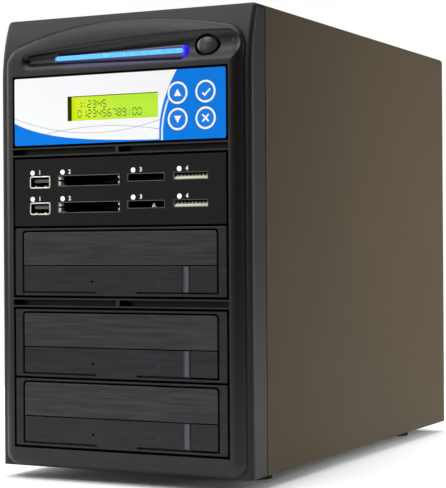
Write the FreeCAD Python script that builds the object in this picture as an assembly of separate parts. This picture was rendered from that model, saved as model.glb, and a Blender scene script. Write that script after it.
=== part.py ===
import FreeCAD, Part
import math
import os
from FreeCAD import Vector

os.makedirs("parts", exist_ok=True)

# All sizes in mm. X runs across the cabinet, Y from the front to the rear, Z up from the floor.

# Modelling allowances
over = 1.0                # a cutting tool runs past the faces that it cuts
sunk = 0.5                # joined solids run into one another

# Bays: five standard 5.25-inch fronts in one column
panel_width = 148.0
panel_height = 41.8
pair_gap = 1.4            # between two fronts that share one opening
bar_gap = 8.6             # between two fronts with a cross-bar between them
bay_reveal = 1.5          # dark gap round the fronts
body_setback = 1.0        # body side inside the edge of its front
body_inset = 0.4          # body inside the lower and upper edges of its front
drive_depth = 170.0       # front face to the rear of the drive
bay_screw_first = 52.0    # front face to the first screw
bay_screw_pitch = 79.25
bay_screw_lift = 10.0     # underside of the body to its screws

# Cabinet
side_rail = 14.0          # outside of the cabinet to the side of the fronts
sill = 13.6               # cabinet underside to the lowest front
forehead = 38.8           # top front to the cabinet top
bezel_depth = 24.5        # front face to the seam with the cover
seam_gap = 1.2
cover_depth = 325.0
sheet = 1.0               # steel gauge
slide_gap = 0.3           # sheet parts that slide past one another
cover_bend = 3.0          # outside radius of the cover's folds
cover_lip = 11.0          # rear lip of the cover
pan_flange = 14.0
flange = 6.0              # feet of the drive cage
cage_overhang = 12.0      # cage behind the rear screws of the bays
cage_slot_length = 10.0
cage_slot_height = 4.4
ear_lift = 12.0           # floor to the cage's front ears
ear_setback = 1.0         # ears inside the edge of the cage's feet
cover_screw_inset = 24.0
panel_fold = 11.0         # side folds of the rear panel
panel_fold_low = 2.0      # above the pan's sides
panel_fold_high = 12.0    # below the cabinet top
lead_hole_width = 40.0
lead_hole_height = 8.0
foot_height = 8.0
foot_radius = 10.5
foot_taper = 1.5
foot_inset = 26.0
foot_from_front = 66.0
foot_from_rear = 36.0

# Moulded front
rail_step = 3.5           # cabinet side to the edge of the mask
mask_proud = 5.5          # mask in front of the surround that carries it
edge_radius = 8.0         # round-over of the mask
sill_corner = 9.0
arch_drop = 5.0           # cabinet top to the crown of the arch
arch_radius = 368.0
shoulder_radius = 16.0
brow_radius = 95.0        # side profile of the surround above the bays
moulding = 2.5            # side walls
mask_depth = 12.0
brow_wall = 14.0          # front face to the pocket behind the scoop
mask_root = 2.0           # mask let into the surround, past the pocket's wall
pocket_height = 22.0
pocket_margin = 10.0
bar_groove = 3.6
bar_groove_depth = 8.0
bar_rib = 2.2
hook_width = 10.0
hook_thick = 2.4
hook_barb = 1.0
hook_nose = 4.0
hook_gap = 0.6            # barb to the inside of the side wall
hook_low = 30.0           # cabinet underside to the lowest hooks
hook_high = 20.0          # top front to the highest hooks
boss_radius = 2.6
boss_from_bar = 6.0
boss_from_button = 4.6
led_board_margin = 4.0
led_board_height = 18.0
led_count = 4
led_side = 5.0
led_height = 2.4

# Scoop with its light bar and power button
scoop_rise = 15.4         # top front to the middle of the scoop's right end
scoop_reach = 11.5        # half height at the right end
scoop_tip = 7.6           # half height at the left end, level with the right end below
scoop_depth = 4.4
scoop_lip = 5.0
scoop_from_side = 17.5    # left end; the right end runs out through the round-over of the mask
bar_from_side = 41.9      # left side of the cabinet to the bar
bar_from_button = 12.3    # right end of the bar to the middle of the button
bar_height = 9.4          # right end
bar_tip = 5.2             # left end
bar_drop = 4.7            # below the scoop's centre line
bar_round = 1.8
bar_proud = 2.6           # out of the scoop's floor
bar_fit = 0.25
bar_flange = 1.5
bar_lip = 1.5             # flange past the edge of the bar
button_from_side = 27.8   # right side of the cabinet to the middle of the button
button_drop = 1.6
button_width = 13.4
button_height = 9.4
button_ring = 1.9         # black gap round the button
button_ring_depth = 4.0
button_proud = 2.4
button_crown = 14.0       # radius of the domed face
button_dot = 0.6          # dimple in the middle
button_dot_depth = 0.4
button_fit = 0.2
button_collar = 1.6
button_lip = 1.5          # collar past the edge of the button
button_switch = 2.4       # height of the switch behind it
button_travel = 2.0
board = 1.6               # thickness of every circuit board
stop_gap = 0.1            # left at the end of a press
collar_gap = 0.3

# Control bay
overlay_thick = 0.5
fascia_plate = 2.5
fascia_wall = 2.0
fascia_depth = 14.0
fascia_corner = 1.0
lcd_width = 63.8
lcd_height = 15.2
lcd_from_side = 77.2      # right edge of the front to the middle of the window
lcd_lift = 0.7            # middle of the window above the middle of the front
lcd_recess = 5.0
lcd_lap = 2.0             # glass behind the edge of its window
lcd_glass_thick = 2.0
lcd_glass_fit = 0.2
lcd_can_width = 72.0
lcd_can_height = 26.5
lcd_can_depth = 6.0
lcd_board_width = 80.0
lcd_board_gap = 0.9       # to the walls of the fascia
key_radius = 6.8
key_fit = 0.3
key_flange = 0.7
key_from_side = 32.0      # right edge of the front to the first column
key_pitch_x = 18.7
key_pitch_z = 15.7
key_drop = 0.85           # middle of the keys below the middle of the front
key_travel = 0.5
key_stem = 2.4
key_stem_length = 2.4
key_rim = 1.0
switch_side = 6.0
switch_height = 3.4
keypad_post = 1.9
keypad_post_inset = 5.0
keypad_gap = 0.5          # beside the display's board
keypad_side_gap = 2.0
keypad_edge_gap = 3.0
carrier_depth = 126.0
carrier_floor_gap = 5.0
carrier_drop = 2.0        # sides of the carrier below the top of the body
stud_radius = 2.8
stud_side = 10.0
stud_front = 12.0
stud_rear = 16.0
controller_side = 5.0     # edges of the controller board inside its carrier
controller_front = 6.0
controller_rear = 10.0
heatsink_side = 40.0
heatsink_height = 12.0
heatsink_setback = 30.0
port_count = 4
port_pitch = 22.0
port_width = 16.0
port_depth = 12.0
port_height = 9.0
chip_x = 45.0
chip_width = 18.0
chip_depth = 12.0
chip_height = 1.2
chip_setback = 20.0

# Card-reader bay
row_drop = 6.2            # top of the lower slots below the middle of the front
row_pitch = 16.4
socket_wall = 1.2
socket_back = 2.0         # closed end of a card socket
contact_margin = 1.5
contact_height = 1.4
contact_length = 6.0
usb_x = -55.5
usb_width = 15.2
usb_height = 7.8
usb_fit = 0.3
usb_metal = 0.5
usb_depth = 14.0
usb_back = 1.0
usb_setback = 0.4         # shell behind the face of the reader
usb_tongue = 1.9
usb_tongue_width = 11.2
usb_tongue_setback = 2.4
usb_tongue_lift = 1.0
cf_x = -20.3
cf_width = 44.2
cf_height = 6.8
cf_depth = 34.0
sd_x = 19.9
sd_width = 25.8
sd_height = 4.8
sd_depth = 26.0
ms_x = 50.4
ms_width = 23.2
ms_height = 4.5
ms_depth = 28.0
lamp_radius = 1.5
lamp_rise = 2.0           # above the top of the slots
lamp_x = (-61.0, -39.0, 11.2, 42.8)
lamp_fit = 0.1
reader_board_depth = 46.0

# Drives
face_depth = 6.0          # thickness of the drive's front frame
inset_side = 6.4          # side of the front to the door and fascia
inset_top = 2.4
inset_foot = 2.6
inset_gap = 1.1           # dark line round the door and fascia
inset_corner = 2.4
inset_groove = 2.5
door_height = 20.6
door_gap = 0.6            # between the door and the fascia under it
door_thick = 4.0
tab_left = -15.5
tab_right = 12.9
flute_x = 46.7
flute_width = 5.0
flute_depth = 0.5
pinhole_x = -17.9
pinhole_rise = 8.7
pinhole_radius = 0.7
eject_fit = 0.3           # beside the fluted strip
eject_corner = 0.8
eject_flange = 0.9        # flange past the opening, left and right
eject_flange_thick = 1.0
eject_travel = 1.0
eject_room = 0.7          # left behind the flange at the end of a press
shell_wall = 0.8
tray_setback = 2.6        # tray inside the edge of its door
tray_hold = 10.0          # part of the tray that stays in its rails
tray_corner = 3.0
tray_thick = 6.4
tray_rise = 1.2           # tray underside above the door's lower edge
tray_travel = 140.0
disc_radius = 61.0
disc_sink = 3.0
small_disc_radius = 41.0
small_disc_sink = 1.0
disc_margin = 5.0         # front of the tray to the edge of the disc well
spindle_slot = 34.0
spindle_slot_rear = 12.0
spindle_corner = 10.2
finger_radius = 13.0
finger_margin = 2.0
deck_floor = 3.0
deck_gap = 2.2            # deck to the inside of the drive's shell
deck_rear = 160.0
rail_gap = 0.3            # tray to its rails
rail_ledge = 3.0
rail_thick = 2.4
motor_radius = 13.0
motor_height = 5.5
turntable_radius = 14.5
turntable_thick = 2.0
hub_radius = 7.3
hub_height = 2.6
hub_taper = 1.0
shaft_radius = 1.5
shaft_fit = 0.05
shaft_end_gap = 0.5
bearing_floor = 0.6       # left under a shaft's end
pickup_width = 40.0
pickup_depth = 24.0
pickup_height = 6.0
pickup_gap = 8.0          # motor to the pickup

# Rear
hex_width = 6.4           # across the flats
hex_height = 2.2
washer_radius = 4.6
washer_thick = 0.8
screw_radius = 1.7
screw_fit = 0.2
screw_reach = 3.0
screw_relief = 0.6        # round a washer that lies beside a sheet edge
fan_side = 80.0
fan_depth = 25.0
fan_flange = 3.6
fan_bore = 38.0
fan_wall = 1.8
fan_corner = 5.0
fan_rise = 118.0          # cabinet underside to the fan's axis
fan_pitch = 71.5
hub_of_fan = 17.0
blade_count = 7
blade_chord = 19.0
blade_thick = 1.3
blade_tip = 35.4
blade_pitch_root = 50.0
blade_pitch_tip = 32.0
blade_sink = 4.0          # blade root inside the hub
rotor_setback = 1.0
strut_count = 4
strut_width = 4.0
strut_thick = 3.0
strut_sink = 2.0
wire = 1.4
weld = 0.6                # crossed wires run into one another
guard_rings = (13.0, 21.5, 30.0, 38.5)
guard_sides = 24
eyelet_radius = 4.0
fan_screw_radius = 3.4
fan_screw_head = 1.4
vent_count = 12
vent_width = 4.0
vent_height = 28.0
vent_pitch = 9.0
vent_rise = 18.0
psu_width = 150.0
psu_height = 86.0
psu_depth = 140.0
psu_drop = 5.0            # below the cover's top
psu_margin = 12.0
psu_edge = 4.0
psu_screw_inset = 6.0
psu_slot_width = 4.0
psu_slot_height = 60.0
psu_slot_pitch = 7.6
psu_slot_gap = 9.0        # inlet plate to the first slot
psu_slot_margin = 8.0     # last slot to the edge of the window
inlet_inset = 28.5        # side of the power supply to the middle of the inlet
inlet_plate_width = 31.0
inlet_plate_height = 54.0
inlet_plate = 1.5
inlet_corner = 2.0
inlet_width = 24.6
inlet_height = 16.8
inlet_chamfer = 5.0
inlet_depth = 15.0
inlet_drop = 11.5
inlet_wall = 1.4
pin_width = 2.0
pin_height = 4.0
pin_length = 11.0
pin_pitch = 7.0
pin_drop = 1.0            # outer pins below the middle of the inlet
earth_pin_rise = 3.0
rocker_width = 11.8
rocker_height = 18.0
rocker_rise = 13.5
rocker_gap = 0.9
rocker_depth = 9.0
rocker_dish = 1.3
rocker_tilt = 8.0
rocker_axle = 1.2
rocker_axle_depth = 2.0   # axis behind the rear panel's inside
rocker_axle_gap = 0.2
rocker_axle_wall = 0.4    # left in the housing at the axle's ends
rocker_side_wall = 1.6
rocker_end_wall = 1.4
rocker_proud = 1.2
rocker_back = 3.4         # heel of the rocker behind its axis
rocker_heel = 9.9

# Places that follow from the sizes above
half_panel = panel_width / 2
half_width = half_panel + side_rail
body_half = half_panel - body_setback
body_height = panel_height - 2 * body_inset
lcd_x = half_panel - lcd_from_side
lcd_rise = panel_height / 2 + lcd_lift
lcd_board_height = panel_height - 2 * (fascia_wall + lcd_board_gap)
key_x = half_panel - key_from_side
key_rise = panel_height / 2 - key_pitch_z / 2 - key_drop
row_rise = panel_height / 2 - row_drop
inset_width = panel_width - 2 * inset_side
tray_width = inset_width - 2 * tray_setback
screw_head = hex_height + washer_thick
total_depth = bezel_depth + seam_gap + cover_depth + screw_head
front_y = -total_depth / 2
seam_y = front_y + bezel_depth
plate_rear_y = seam_y + sheet
cover_front_y = seam_y + seam_gap
cover_rear_y = cover_front_y + cover_depth
rear_outer_y = cover_rear_y - sheet
rear_inner_y = rear_outer_y - sheet
base_z = foot_height
drive_3_z = base_z + sill
drive_2_z = drive_3_z + panel_height + pair_gap
drive_1_z = drive_2_z + panel_height + bar_gap
reader_z = drive_1_z + panel_height + pair_gap
control_z = reader_z + panel_height + bar_gap
control_top = control_z + panel_height
top_z = control_top + forehead
bay_floors = (drive_3_z, drive_2_z, drive_1_z, reader_z, control_z)
opening_half = half_panel + bay_reveal
inner_half = half_width - sheet - slide_gap
cage_inner = body_half + slide_gap
cage_outer = cage_inner + sheet
scoop_left = scoop_from_side - half_width
scoop_right = half_width
button_x = half_width - button_from_side
bar_left = bar_from_side - half_width
bar_right = button_x - bar_from_button
bar_length = bar_right - bar_left
bar_x = (bar_left + bar_right) / 2
scoop_z = control_top + scoop_rise
scoop_floor_y = front_y + scoop_depth
pocket_y = front_y + brow_wall
bar_z = scoop_z - bar_drop
button_z = scoop_z - button_drop
carrier_inner = body_half - sheet
bay_screw_y = (front_y + bay_screw_first, front_y + bay_screw_first + bay_screw_pitch)
bay_screw_rise = body_inset + bay_screw_lift
hook_x = half_width - moulding - hook_thick - hook_barb - hook_gap
hook_z = (base_z + hook_low, (base_z + control_top) / 2, control_top - hook_high)
cover_screw_x = half_width - cover_lip / 2
cover_screw_z = (base_z + cover_screw_inset, (base_z + top_z) / 2, top_z - cover_screw_inset)
flute_right = flute_x + flute_width / 2
eject_flange_y = front_y + face_depth + collar_gap
deck_y = eject_flange_y + eject_flange_thick + eject_travel + eject_room
deck_width = 2 * (body_half - shell_wall - deck_gap)
tray_depth = tray_travel + tray_hold
psu_top = top_z - sheet - psu_drop
psu_floor = psu_top - psu_height
psu_middle = psu_top - psu_height / 2
psu_screw_x = psu_width / 2 - psu_screw_inset
psu_screw_z = (psu_floor + psu_screw_inset, psu_top - psu_screw_inset)
inlet_x = inlet_inset - psu_width / 2
inlet_z = psu_middle - inlet_drop
rocker_z = psu_middle + rocker_rise
psu_window = psu_width / 2 - psu_margin
psu_slot_x = inlet_x + inlet_plate_width / 2 + psu_slot_gap
fan_z = base_z + fan_rise
across = Vector(1, 0, 0)
rearward = Vector(0, 1, 0)
upward = Vector(0, 0, 1)


def box(x0, x1, y0, y1, z0, z1):
    return Part.makeBox(x1 - x0, y1 - y0, z1 - z0, Vector(x0, y0, z0))


def bare(shape):
    return shape.Solids[0] if len(shape.Solids) == 1 else shape


def cut(shape, *tools):
    return bare(shape.cut(list(tools)))


def join(shape, *others):
    return bare(shape.multiFuse(list(others)).removeSplitter())


def group(solids):
    return Part.makeCompound(list(solids))


def mirrored(shape):
    return shape.mirror(Vector(0, 0, 0), across)


def edges_along(solid, axis):
    found = []
    for edge in solid.Edges:
        if isinstance(edge.Curve, Part.Line) and abs(edge.Curve.Direction.dot(axis)) > 0.999:
            found.append(edge)
    return found


def rounded(solid, radius, axis, above=None):
    # rounds the straight edges along the axis, or only those higher than a level
    edges = edges_along(solid, axis)
    if above is not None:
        edges = [edge for edge in edges if edge.CenterOfMass.z > above]
    return solid.makeFillet(radius, edges)


def front_edges(solid, y):
    found = []
    for edge in solid.Edges:
        if abs(edge.BoundBox.YMin - y) < 1e-6 and abs(edge.BoundBox.YMax - y) < 1e-6:
            found.append(edge)
    return found


def disc(radius, x, z, y0, y1):
    return Part.makeCylinder(radius, y1 - y0, Vector(x, y0, z), rearward)


def post(radius, x, y, z0, z1):
    return Part.makeCylinder(radius, z1 - z0, Vector(x, y, z0), upward)


def line(a, b):
    return Part.makeLine(a, b)


def arc(a, middle, b):
    return Part.Arc(a, middle, b).toShape()


def prism(points, along):
    return Part.Face(Part.makePolygon(points + [points[0]])).extrude(along)


def oval(width, height, x, z, y0, y1):
    middle = Vector(x, y0, z)
    curve = Part.Ellipse(middle + Vector(width / 2, 0, 0), middle + Vector(0, 0, height / 2), middle)
    return Part.Face(Part.Wire(curve.toShape())).extrude(Vector(0, y1 - y0, 0))


def hexagon(width, middle, along):
    # hexagonal head, its axis along X or Y
    reach = width / math.sqrt(3)
    side = rearward if abs(along.x) > 0 else across
    points = []
    for i in range(6):
        angle = math.radians(60 * i)
        points.append(middle + side * (reach * math.cos(angle)) + upward * (reach * math.sin(angle)))
    return prism(points, along)


def rear_screw(x, z, seat_y):
    washer = disc(washer_radius, x, z, seat_y, seat_y + washer_thick)
    head = hexagon(hex_width, Vector(x, seat_y + washer_thick, z), Vector(0, hex_height, 0))
    shank = disc(screw_radius, x, z, seat_y - screw_reach, seat_y)
    return join(washer, head, shank)


def rear_hole(x, z, y0, y1):
    return disc(screw_radius + screw_fit, x, z, y0, y1)


# Steel cabinet

def make_wrap_cover():
    outer = rounded(box(-half_width, half_width, cover_front_y, cover_rear_y, base_z, top_z),
                    cover_bend, rearward, control_top)
    inner = rounded(box(-half_width + sheet, half_width - sheet, cover_front_y - over, cover_rear_y + over,
                        base_z - over, top_z - sheet), cover_bend - sheet, rearward, control_top)
    lip = box(half_width - cover_lip, half_width, rear_outer_y, cover_rear_y,
              base_z + pan_flange, top_z - cover_bend - sheet)
    holes = []
    for side in (-1, 1):
        for z in cover_screw_z:
            holes.append(rear_hole(side * cover_screw_x, z, rear_outer_y - over, cover_rear_y + over))
        for z in psu_screw_z:
            holes.append(disc(washer_radius + screw_relief, side * psu_screw_x, z,
                              rear_outer_y, cover_rear_y + over))
    return cut(join(cut(outer, inner), lip, mirrored(lip)), *holes)


def make_base_pan():
    w = inner_half
    points = [(-w, 0), (w, 0), (w, pan_flange), (w - sheet, pan_flange), (w - sheet, sheet),
              (-w + sheet, sheet), (-w + sheet, pan_flange), (-w, pan_flange)]
    points = [Vector(x, plate_rear_y, base_z + z) for x, z in points]
    return prism(points, Vector(0, rear_inner_y - plate_rear_y, 0))


def make_front_plate():
    edge = half_width - sheet - slide_gap
    plate = box(-edge, edge, seam_y, plate_rear_y, base_z, top_z - sheet - slide_gap)
    plate = rounded(plate, cover_bend - sheet, rearward, control_top)
    reach = opening_half + slide_gap
    window = box(-reach, reach, seam_y - over, plate_rear_y + over,
                 drive_3_z - bay_reveal - slide_gap, control_top + bay_reveal + slide_gap)
    lead_hole = box(-lead_hole_width / 2, lead_hole_width / 2, seam_y - over, plate_rear_y + over,
                    scoop_z - lead_hole_height / 2, scoop_z + lead_hole_height / 2)
    slots = []
    for z in hook_z:
        slot = box(hook_x - slide_gap, hook_x + hook_thick + slide_gap, seam_y - over, plate_rear_y + over,
                   z - hook_width / 2 - slide_gap, z + hook_width / 2 + slide_gap)
        slots += [slot, mirrored(slot)]
    return cut(plate, window, lead_hole, *slots)


def make_drive_cage():
    low = base_z + sheet
    high = control_z + body_inset + body_height + slide_gap
    a, b = cage_inner, cage_outer
    points = [(-b - flange, low), (-a, low), (-a, high), (a, high), (a, low), (b + flange, low),
              (b + flange, low + sheet), (b, low + sheet), (b, high + sheet), (-b, high + sheet),
              (-b, low + sheet), (-b - flange, low + sheet)]
    points = [Vector(x, plate_rear_y, z) for x, z in points]
    cage = prism(points, Vector(0, bay_screw_y[1] + cage_overhang - plate_rear_y, 0))
    ear = box(a, b + flange - ear_setback, plate_rear_y, plate_rear_y + sheet, low + ear_lift, high)
    slots = []
    for floor in bay_floors:
        for y in bay_screw_y:
            z = floor + bay_screw_rise
            slots.append(box(-b - over, b + over, y - cage_slot_length / 2, y + cage_slot_length / 2,
                             z - cage_slot_height / 2, z + cage_slot_height / 2))
    return cut(join(cage, ear, mirrored(ear)), *slots)


def make_rear_panel():
    w = inner_half
    panel = box(-w, w, rear_inner_y, rear_outer_y, base_z, top_z - sheet - slide_gap)
    panel = rounded(panel, cover_bend - sheet, rearward, control_top)
    fold = box(w - sheet, w, rear_outer_y - panel_fold, rear_outer_y,
               base_z + pan_flange + panel_fold_low, top_z - panel_fold_high)
    panel = join(panel, fold, mirrored(fold))
    tools = [box(-psu_window, psu_window, rear_inner_y - over, rear_outer_y + over,
                 psu_floor + psu_edge, psu_top - psu_edge)]
    tools.append(disc(fan_bore, 0, fan_z, rear_inner_y - over, rear_outer_y + over))
    for x, z in fan_screw_places():
        tools.append(rear_hole(x, z, rear_inner_y - over, rear_outer_y + over))
    for side in (-1, 1):
        for z in cover_screw_z:
            tools.append(rear_hole(side * cover_screw_x, z, rear_inner_y - over, rear_outer_y + over))
        for z in psu_screw_z:
            tools.append(rear_hole(side * psu_screw_x, z, rear_inner_y - over, rear_outer_y + over))
    for i in range(vent_count):
        x = (i - (vent_count - 1) / 2) * vent_pitch
        tools.append(box(x - vent_width / 2, x + vent_width / 2, rear_inner_y - over, rear_outer_y + over,
                         base_z + vent_rise, base_z + vent_rise + vent_height))
    return cut(panel, *tools)


def make_feet():
    feet = []
    for x in (-half_width + foot_inset, half_width - foot_inset):
        for y in (front_y + foot_from_front, rear_inner_y - foot_from_rear):
            feet.append(Part.makeCone(foot_radius - foot_taper, foot_radius, foot_height,
                                      Vector(x, y, 0), upward))
    return group(feet)


def make_rear_screws():
    screws = []
    for side in (-1, 1):
        for z in cover_screw_z:
            screws.append(rear_screw(side * cover_screw_x, z, cover_rear_y))
        for z in psu_screw_z:
            screws.append(rear_screw(side * psu_screw_x, z, rear_outer_y))
    return group(screws)


def make_drive_screws():
    screws = []
    for side in (-1, 1):
        for floor in bay_floors:
            for y in bay_screw_y:
                z = floor + bay_screw_rise
                seat = Vector(side * cage_outer, y, z)
                head = hexagon(hex_width, seat, Vector(side * hex_height, 0, 0))
                shank = Part.makeCylinder(screw_radius, cage_outer - body_half,
                                          Vector(side * body_half, y, z), Vector(side, 0, 0))
                screws.append(join(head, shank))
    return group(screws)


# Moulded front

def mask_outline():
    # upright sides, round lower corners and an arched top with wide shoulders
    w, r, s = half_width - rail_step, sill_corner, shoulder_radius
    crown = top_z - arch_drop
    hub = crown - arch_radius
    sx = w - s
    sz = hub + math.sqrt((arch_radius - s) ** 2 - sx ** 2)
    grow = arch_radius / (arch_radius - s)
    tx, tz = sx * grow, hub + (sz - hub) * grow
    lean = math.atan2(tz - sz, tx - sx) / 2
    mx, mz = sx + s * math.cos(lean), sz + s * math.sin(lean)
    k = r * (1 - math.sqrt(0.5))

    def at(x, z):
        return Vector(x, front_y, z)

    return Part.Wire([
        line(at(-w + r, base_z), at(w - r, base_z)),
        arc(at(w - r, base_z), at(w - k, base_z + k), at(w, base_z + r)),
        line(at(w, base_z + r), at(w, sz)),
        arc(at(w, sz), at(mx, mz), at(tx, tz)),
        arc(at(tx, tz), at(0, crown), at(-tx, tz)),
        arc(at(-tx, tz), at(-mx, mz), at(-w, sz)),
        line(at(-w, sz), at(-w, base_z + r)),
        arc(at(-w, base_z + r), at(-w + k, base_z + k), at(-w + r, base_z))])


def brow_setback(rise):
    return brow_radius - math.sqrt(brow_radius ** 2 - rise ** 2)


def make_surround():
    # rear part of the moulding: upright below, leaning back above the bays, with rounded front edges
    face = front_y + mask_proud
    rise = top_z - control_top

    def at(y, z):
        return Vector(-half_width, y, z)

    outline = Part.Wire([
        line(at(seam_y, base_z), at(face, base_z)),
        line(at(face, base_z), at(face, control_top)),
        arc(at(face, control_top), at(face + brow_setback(rise / 2), control_top + rise / 2),
            at(face + brow_setback(rise), top_z)),
        line(at(face + brow_setback(rise), top_z), at(seam_y, top_z)),
        line(at(seam_y, top_z), at(seam_y, base_z))])
    body = Part.Face(outline).extrude(Vector(2 * half_width, 0, 0))
    edges = []
    for edge in body.Edges:
        middle = edge.CenterOfMass
        ahead = middle.y < seam_y - sunk
        on_side = abs(middle.x) > half_width - sunk and middle.z > base_z + sunk
        on_top = middle.z > top_z - sunk
        if ahead and (on_side or on_top):
            edges.append(edge)
    return body.makeFillet(cover_bend, edges)


def scoop_profile(reach):
    # half section from the floor to the face: a hollow arc that runs into a rounded lip
    lean = 2 * math.atan2(scoop_depth, reach)
    hollow = reach / math.sin(lean) - scoop_lip
    floor = scoop_floor_y
    bend_s = hollow * math.sin(lean)
    bend_y = floor - hollow * (1 - math.cos(lean))
    half = lean / 2
    first = (hollow * math.sin(half), floor - hollow * (1 - math.cos(half)))
    second = (reach - scoop_lip * math.sin(half), front_y + scoop_lip * (1 - math.cos(half)))
    return first, (bend_s, bend_y), second


def make_scoop():
    # round ends of different size, and between them two lofted halves that taper with the bar
    clear = front_y - scoop_depth

    def half_section(x, reach, side):
        first, bend, second = scoop_profile(reach)
        middle = scoop_z - scoop_reach + reach

        def at(s, y):
            return Vector(x, y, middle + side * s)
        return Part.Wire([arc(at(0, scoop_floor_y), at(*first), at(*bend)),
                          arc(at(*bend), at(*second), at(reach, front_y)),
                          line(at(reach, front_y), at(reach, clear)),
                          line(at(reach, clear), at(0, clear)),
                          line(at(0, clear), at(0, scoop_floor_y))])

    left, right = scoop_left + scoop_tip, scoop_right - scoop_reach
    parts = []
    for side in (-1, 1):
        sections = [half_section(left, scoop_tip, side), half_section(right, scoop_reach, side)]
        parts.append(Part.makeLoft(sections, True, True))
    for x, reach, turn in ((left, scoop_tip, -1), (right, scoop_reach, 1)):
        hub = Vector(x, 0, scoop_z - scoop_reach + reach)
        parts.append(Part.Face(half_section(x, reach, -1)).revolve(hub, rearward, -180 * turn))
    return join(*parts)


def make_hook(z):
    y0 = front_y + mask_depth - sunk
    x = hook_x
    latch = plate_rear_y + collar_gap
    points = [(x, y0), (x + hook_thick, y0), (x + hook_thick, latch),
              (x + hook_thick + hook_barb, latch), (x + hook_thick, latch + hook_nose),
              (x, latch + hook_nose)]
    points = [Vector(px, py, z - hook_width / 2) for px, py in points]
    return prism(points, Vector(0, 0, hook_width))


def bay_openings():
    spans = ((drive_3_z, drive_2_z), (drive_1_z, reader_z), (control_z, control_z))
    return [(low - bay_reveal, high + panel_height + bay_reveal) for low, high in spans]


def make_front_bezel():
    mask = Part.Face(mask_outline()).extrude(Vector(0, brow_wall + mask_root, 0))
    mask = mask.makeFillet(edge_radius, front_edges(mask, front_y))
    body = join(mask, make_surround())
    inside = half_width - moulding
    hollow = box(-inside, inside, front_y + mask_depth, seam_y + over, base_z + moulding,
                 control_top + bay_reveal + moulding / 2)
    pocket = box(-half_width + pocket_margin, half_width - pocket_margin, pocket_y, seam_y + over,
                 scoop_z - pocket_height / 2, scoop_z + pocket_height / 2)
    tools = [hollow, pocket, make_scoop()]
    openings = bay_openings()
    for low, high in openings:
        tools.append(box(-opening_half, opening_half, front_y - over, seam_y + over, low, high))
    tools.append(bar_form(bar_fit, front_y - over, pocket_y + over))
    ring = 2 * button_ring
    tools.append(oval(button_width + ring, button_height + ring, button_x, button_z,
                      front_y - over, scoop_floor_y + button_ring_depth))
    fit = 2 * button_fit
    tools.append(oval(button_width + fit, button_height + fit, button_x, button_z, front_y, pocket_y + over))
    body = cut(body, *tools)
    grooves = []
    for (_, below), (above, _) in zip(openings, openings[1:]):
        middle = (below + above) / 2
        groove = box(bar_rib / 2, opening_half, front_y - over, front_y + bar_groove_depth,
                     middle - bar_groove / 2, middle + bar_groove / 2)
        grooves += [groove, mirrored(groove)]
    hooks = []
    for z in hook_z:
        hook = make_hook(z)
        hooks += [hook, mirrored(hook)]
    bosses = [disc(boss_radius, x, scoop_z, pocket_y - sunk, led_board_y()) for x in boss_places()]
    return cut(join(body, *hooks, *bosses), *grooves)


def boss_places():
    return (bar_left - boss_from_bar, button_x + button_width / 2 + boss_from_button)


def button_end_y():
    return pocket_y + collar_gap + button_collar


def led_board_y():
    return button_end_y() + button_travel + stop_gap + button_switch


def bar_form(grow, y0, y1):
    # two round ends of different size joined by their common tangents
    small, large = bar_tip / 2 + grow, bar_height / 2 + grow
    left = bar_left + bar_tip / 2
    right = bar_right - bar_height / 2
    lean = math.pi / 2 + math.asin((large - small) / (right - left))

    def at(x, radius, angle):
        return Vector(x + radius * math.cos(angle), y0, bar_z + radius * math.sin(angle))

    outline = Part.Wire([
        line(at(left, small, lean), at(right, large, lean)),
        arc(at(right, large, lean), at(right, large, 0), at(right, large, -lean)),
        line(at(right, large, -lean), at(left, small, -lean)),
        arc(at(left, small, -lean), at(left, small, math.pi), at(left, small, lean))])
    return Part.Face(outline).extrude(Vector(0, y1 - y0, 0))


def make_light_bar():
    front = scoop_floor_y - bar_proud
    bar = bar_form(0, front, pocket_y)
    bar = bar.makeFillet(bar_round, front_edges(bar, front))
    return join(bar, bar_form(bar_lip, pocket_y, pocket_y + bar_flange))


def make_power_button():
    front = scoop_floor_y - button_proud
    stalk = oval(button_width, button_height, button_x, button_z, front, pocket_y + collar_gap)
    dome = Part.makeSphere(button_crown, Vector(button_x, front + button_crown, button_z))
    grow = 2 * button_lip
    collar = oval(button_width + grow, button_height + grow, button_x, button_z,
                  pocket_y + collar_gap, button_end_y())
    dot = disc(button_dot, button_x, button_z, front - over, front + button_dot_depth)
    return cut(join(bare(stalk.common(dome)), collar), dot)


def make_led_board():
    x0, x1 = boss_places()
    y = led_board_y()
    tall = led_board_height / 2
    plate = box(x0 - led_board_margin, x1 + led_board_margin, y, y + board, scoop_z - tall, scoop_z + tall)
    solids = [plate]
    side = switch_side / 2
    solids.append(box(button_x - side, button_x + side, button_end_y() + button_travel + stop_gap, y,
                      button_z - side, button_z + side))
    for i in range(led_count):
        x = bar_x + (i - (led_count - 1) / 2) * bar_length / led_count
        solids.append(box(x - led_side / 2, x + led_side / 2, y - led_height, y,
                          bar_z - led_side / 2, bar_z + led_side / 2))
    return group(solids)


# Control bay

def key_places():
    low = control_z + key_rise
    return {"key_up": (key_x, low + key_pitch_z), "key_down": (key_x, low),
            "key_enter": (key_x + key_pitch_x, low + key_pitch_z), "key_cancel": (key_x + key_pitch_x, low)}


def lcd_window(y0, y1, grow=0.0):
    z = control_z + lcd_rise
    w, h = lcd_width / 2 + grow, lcd_height / 2 + grow
    return box(lcd_x - w, lcd_x + w, y0, y1, z - h, z + h)


def fascia_shell(floor, face_y):
    shell = box(-half_panel, half_panel, face_y, front_y + fascia_depth, floor, floor + panel_height)
    shell = rounded(shell, fascia_corner, rearward)
    inside = half_panel - fascia_wall
    hollow = box(-inside, inside, face_y + fascia_plate, front_y + fascia_depth + over,
                 floor + fascia_wall, floor + panel_height - fascia_wall)
    return cut(shell, hollow)


def key_face_y():
    return front_y + overlay_thick + fascia_plate + stop_gap


def key_end_y():
    return key_face_y() + key_stem_length


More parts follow.
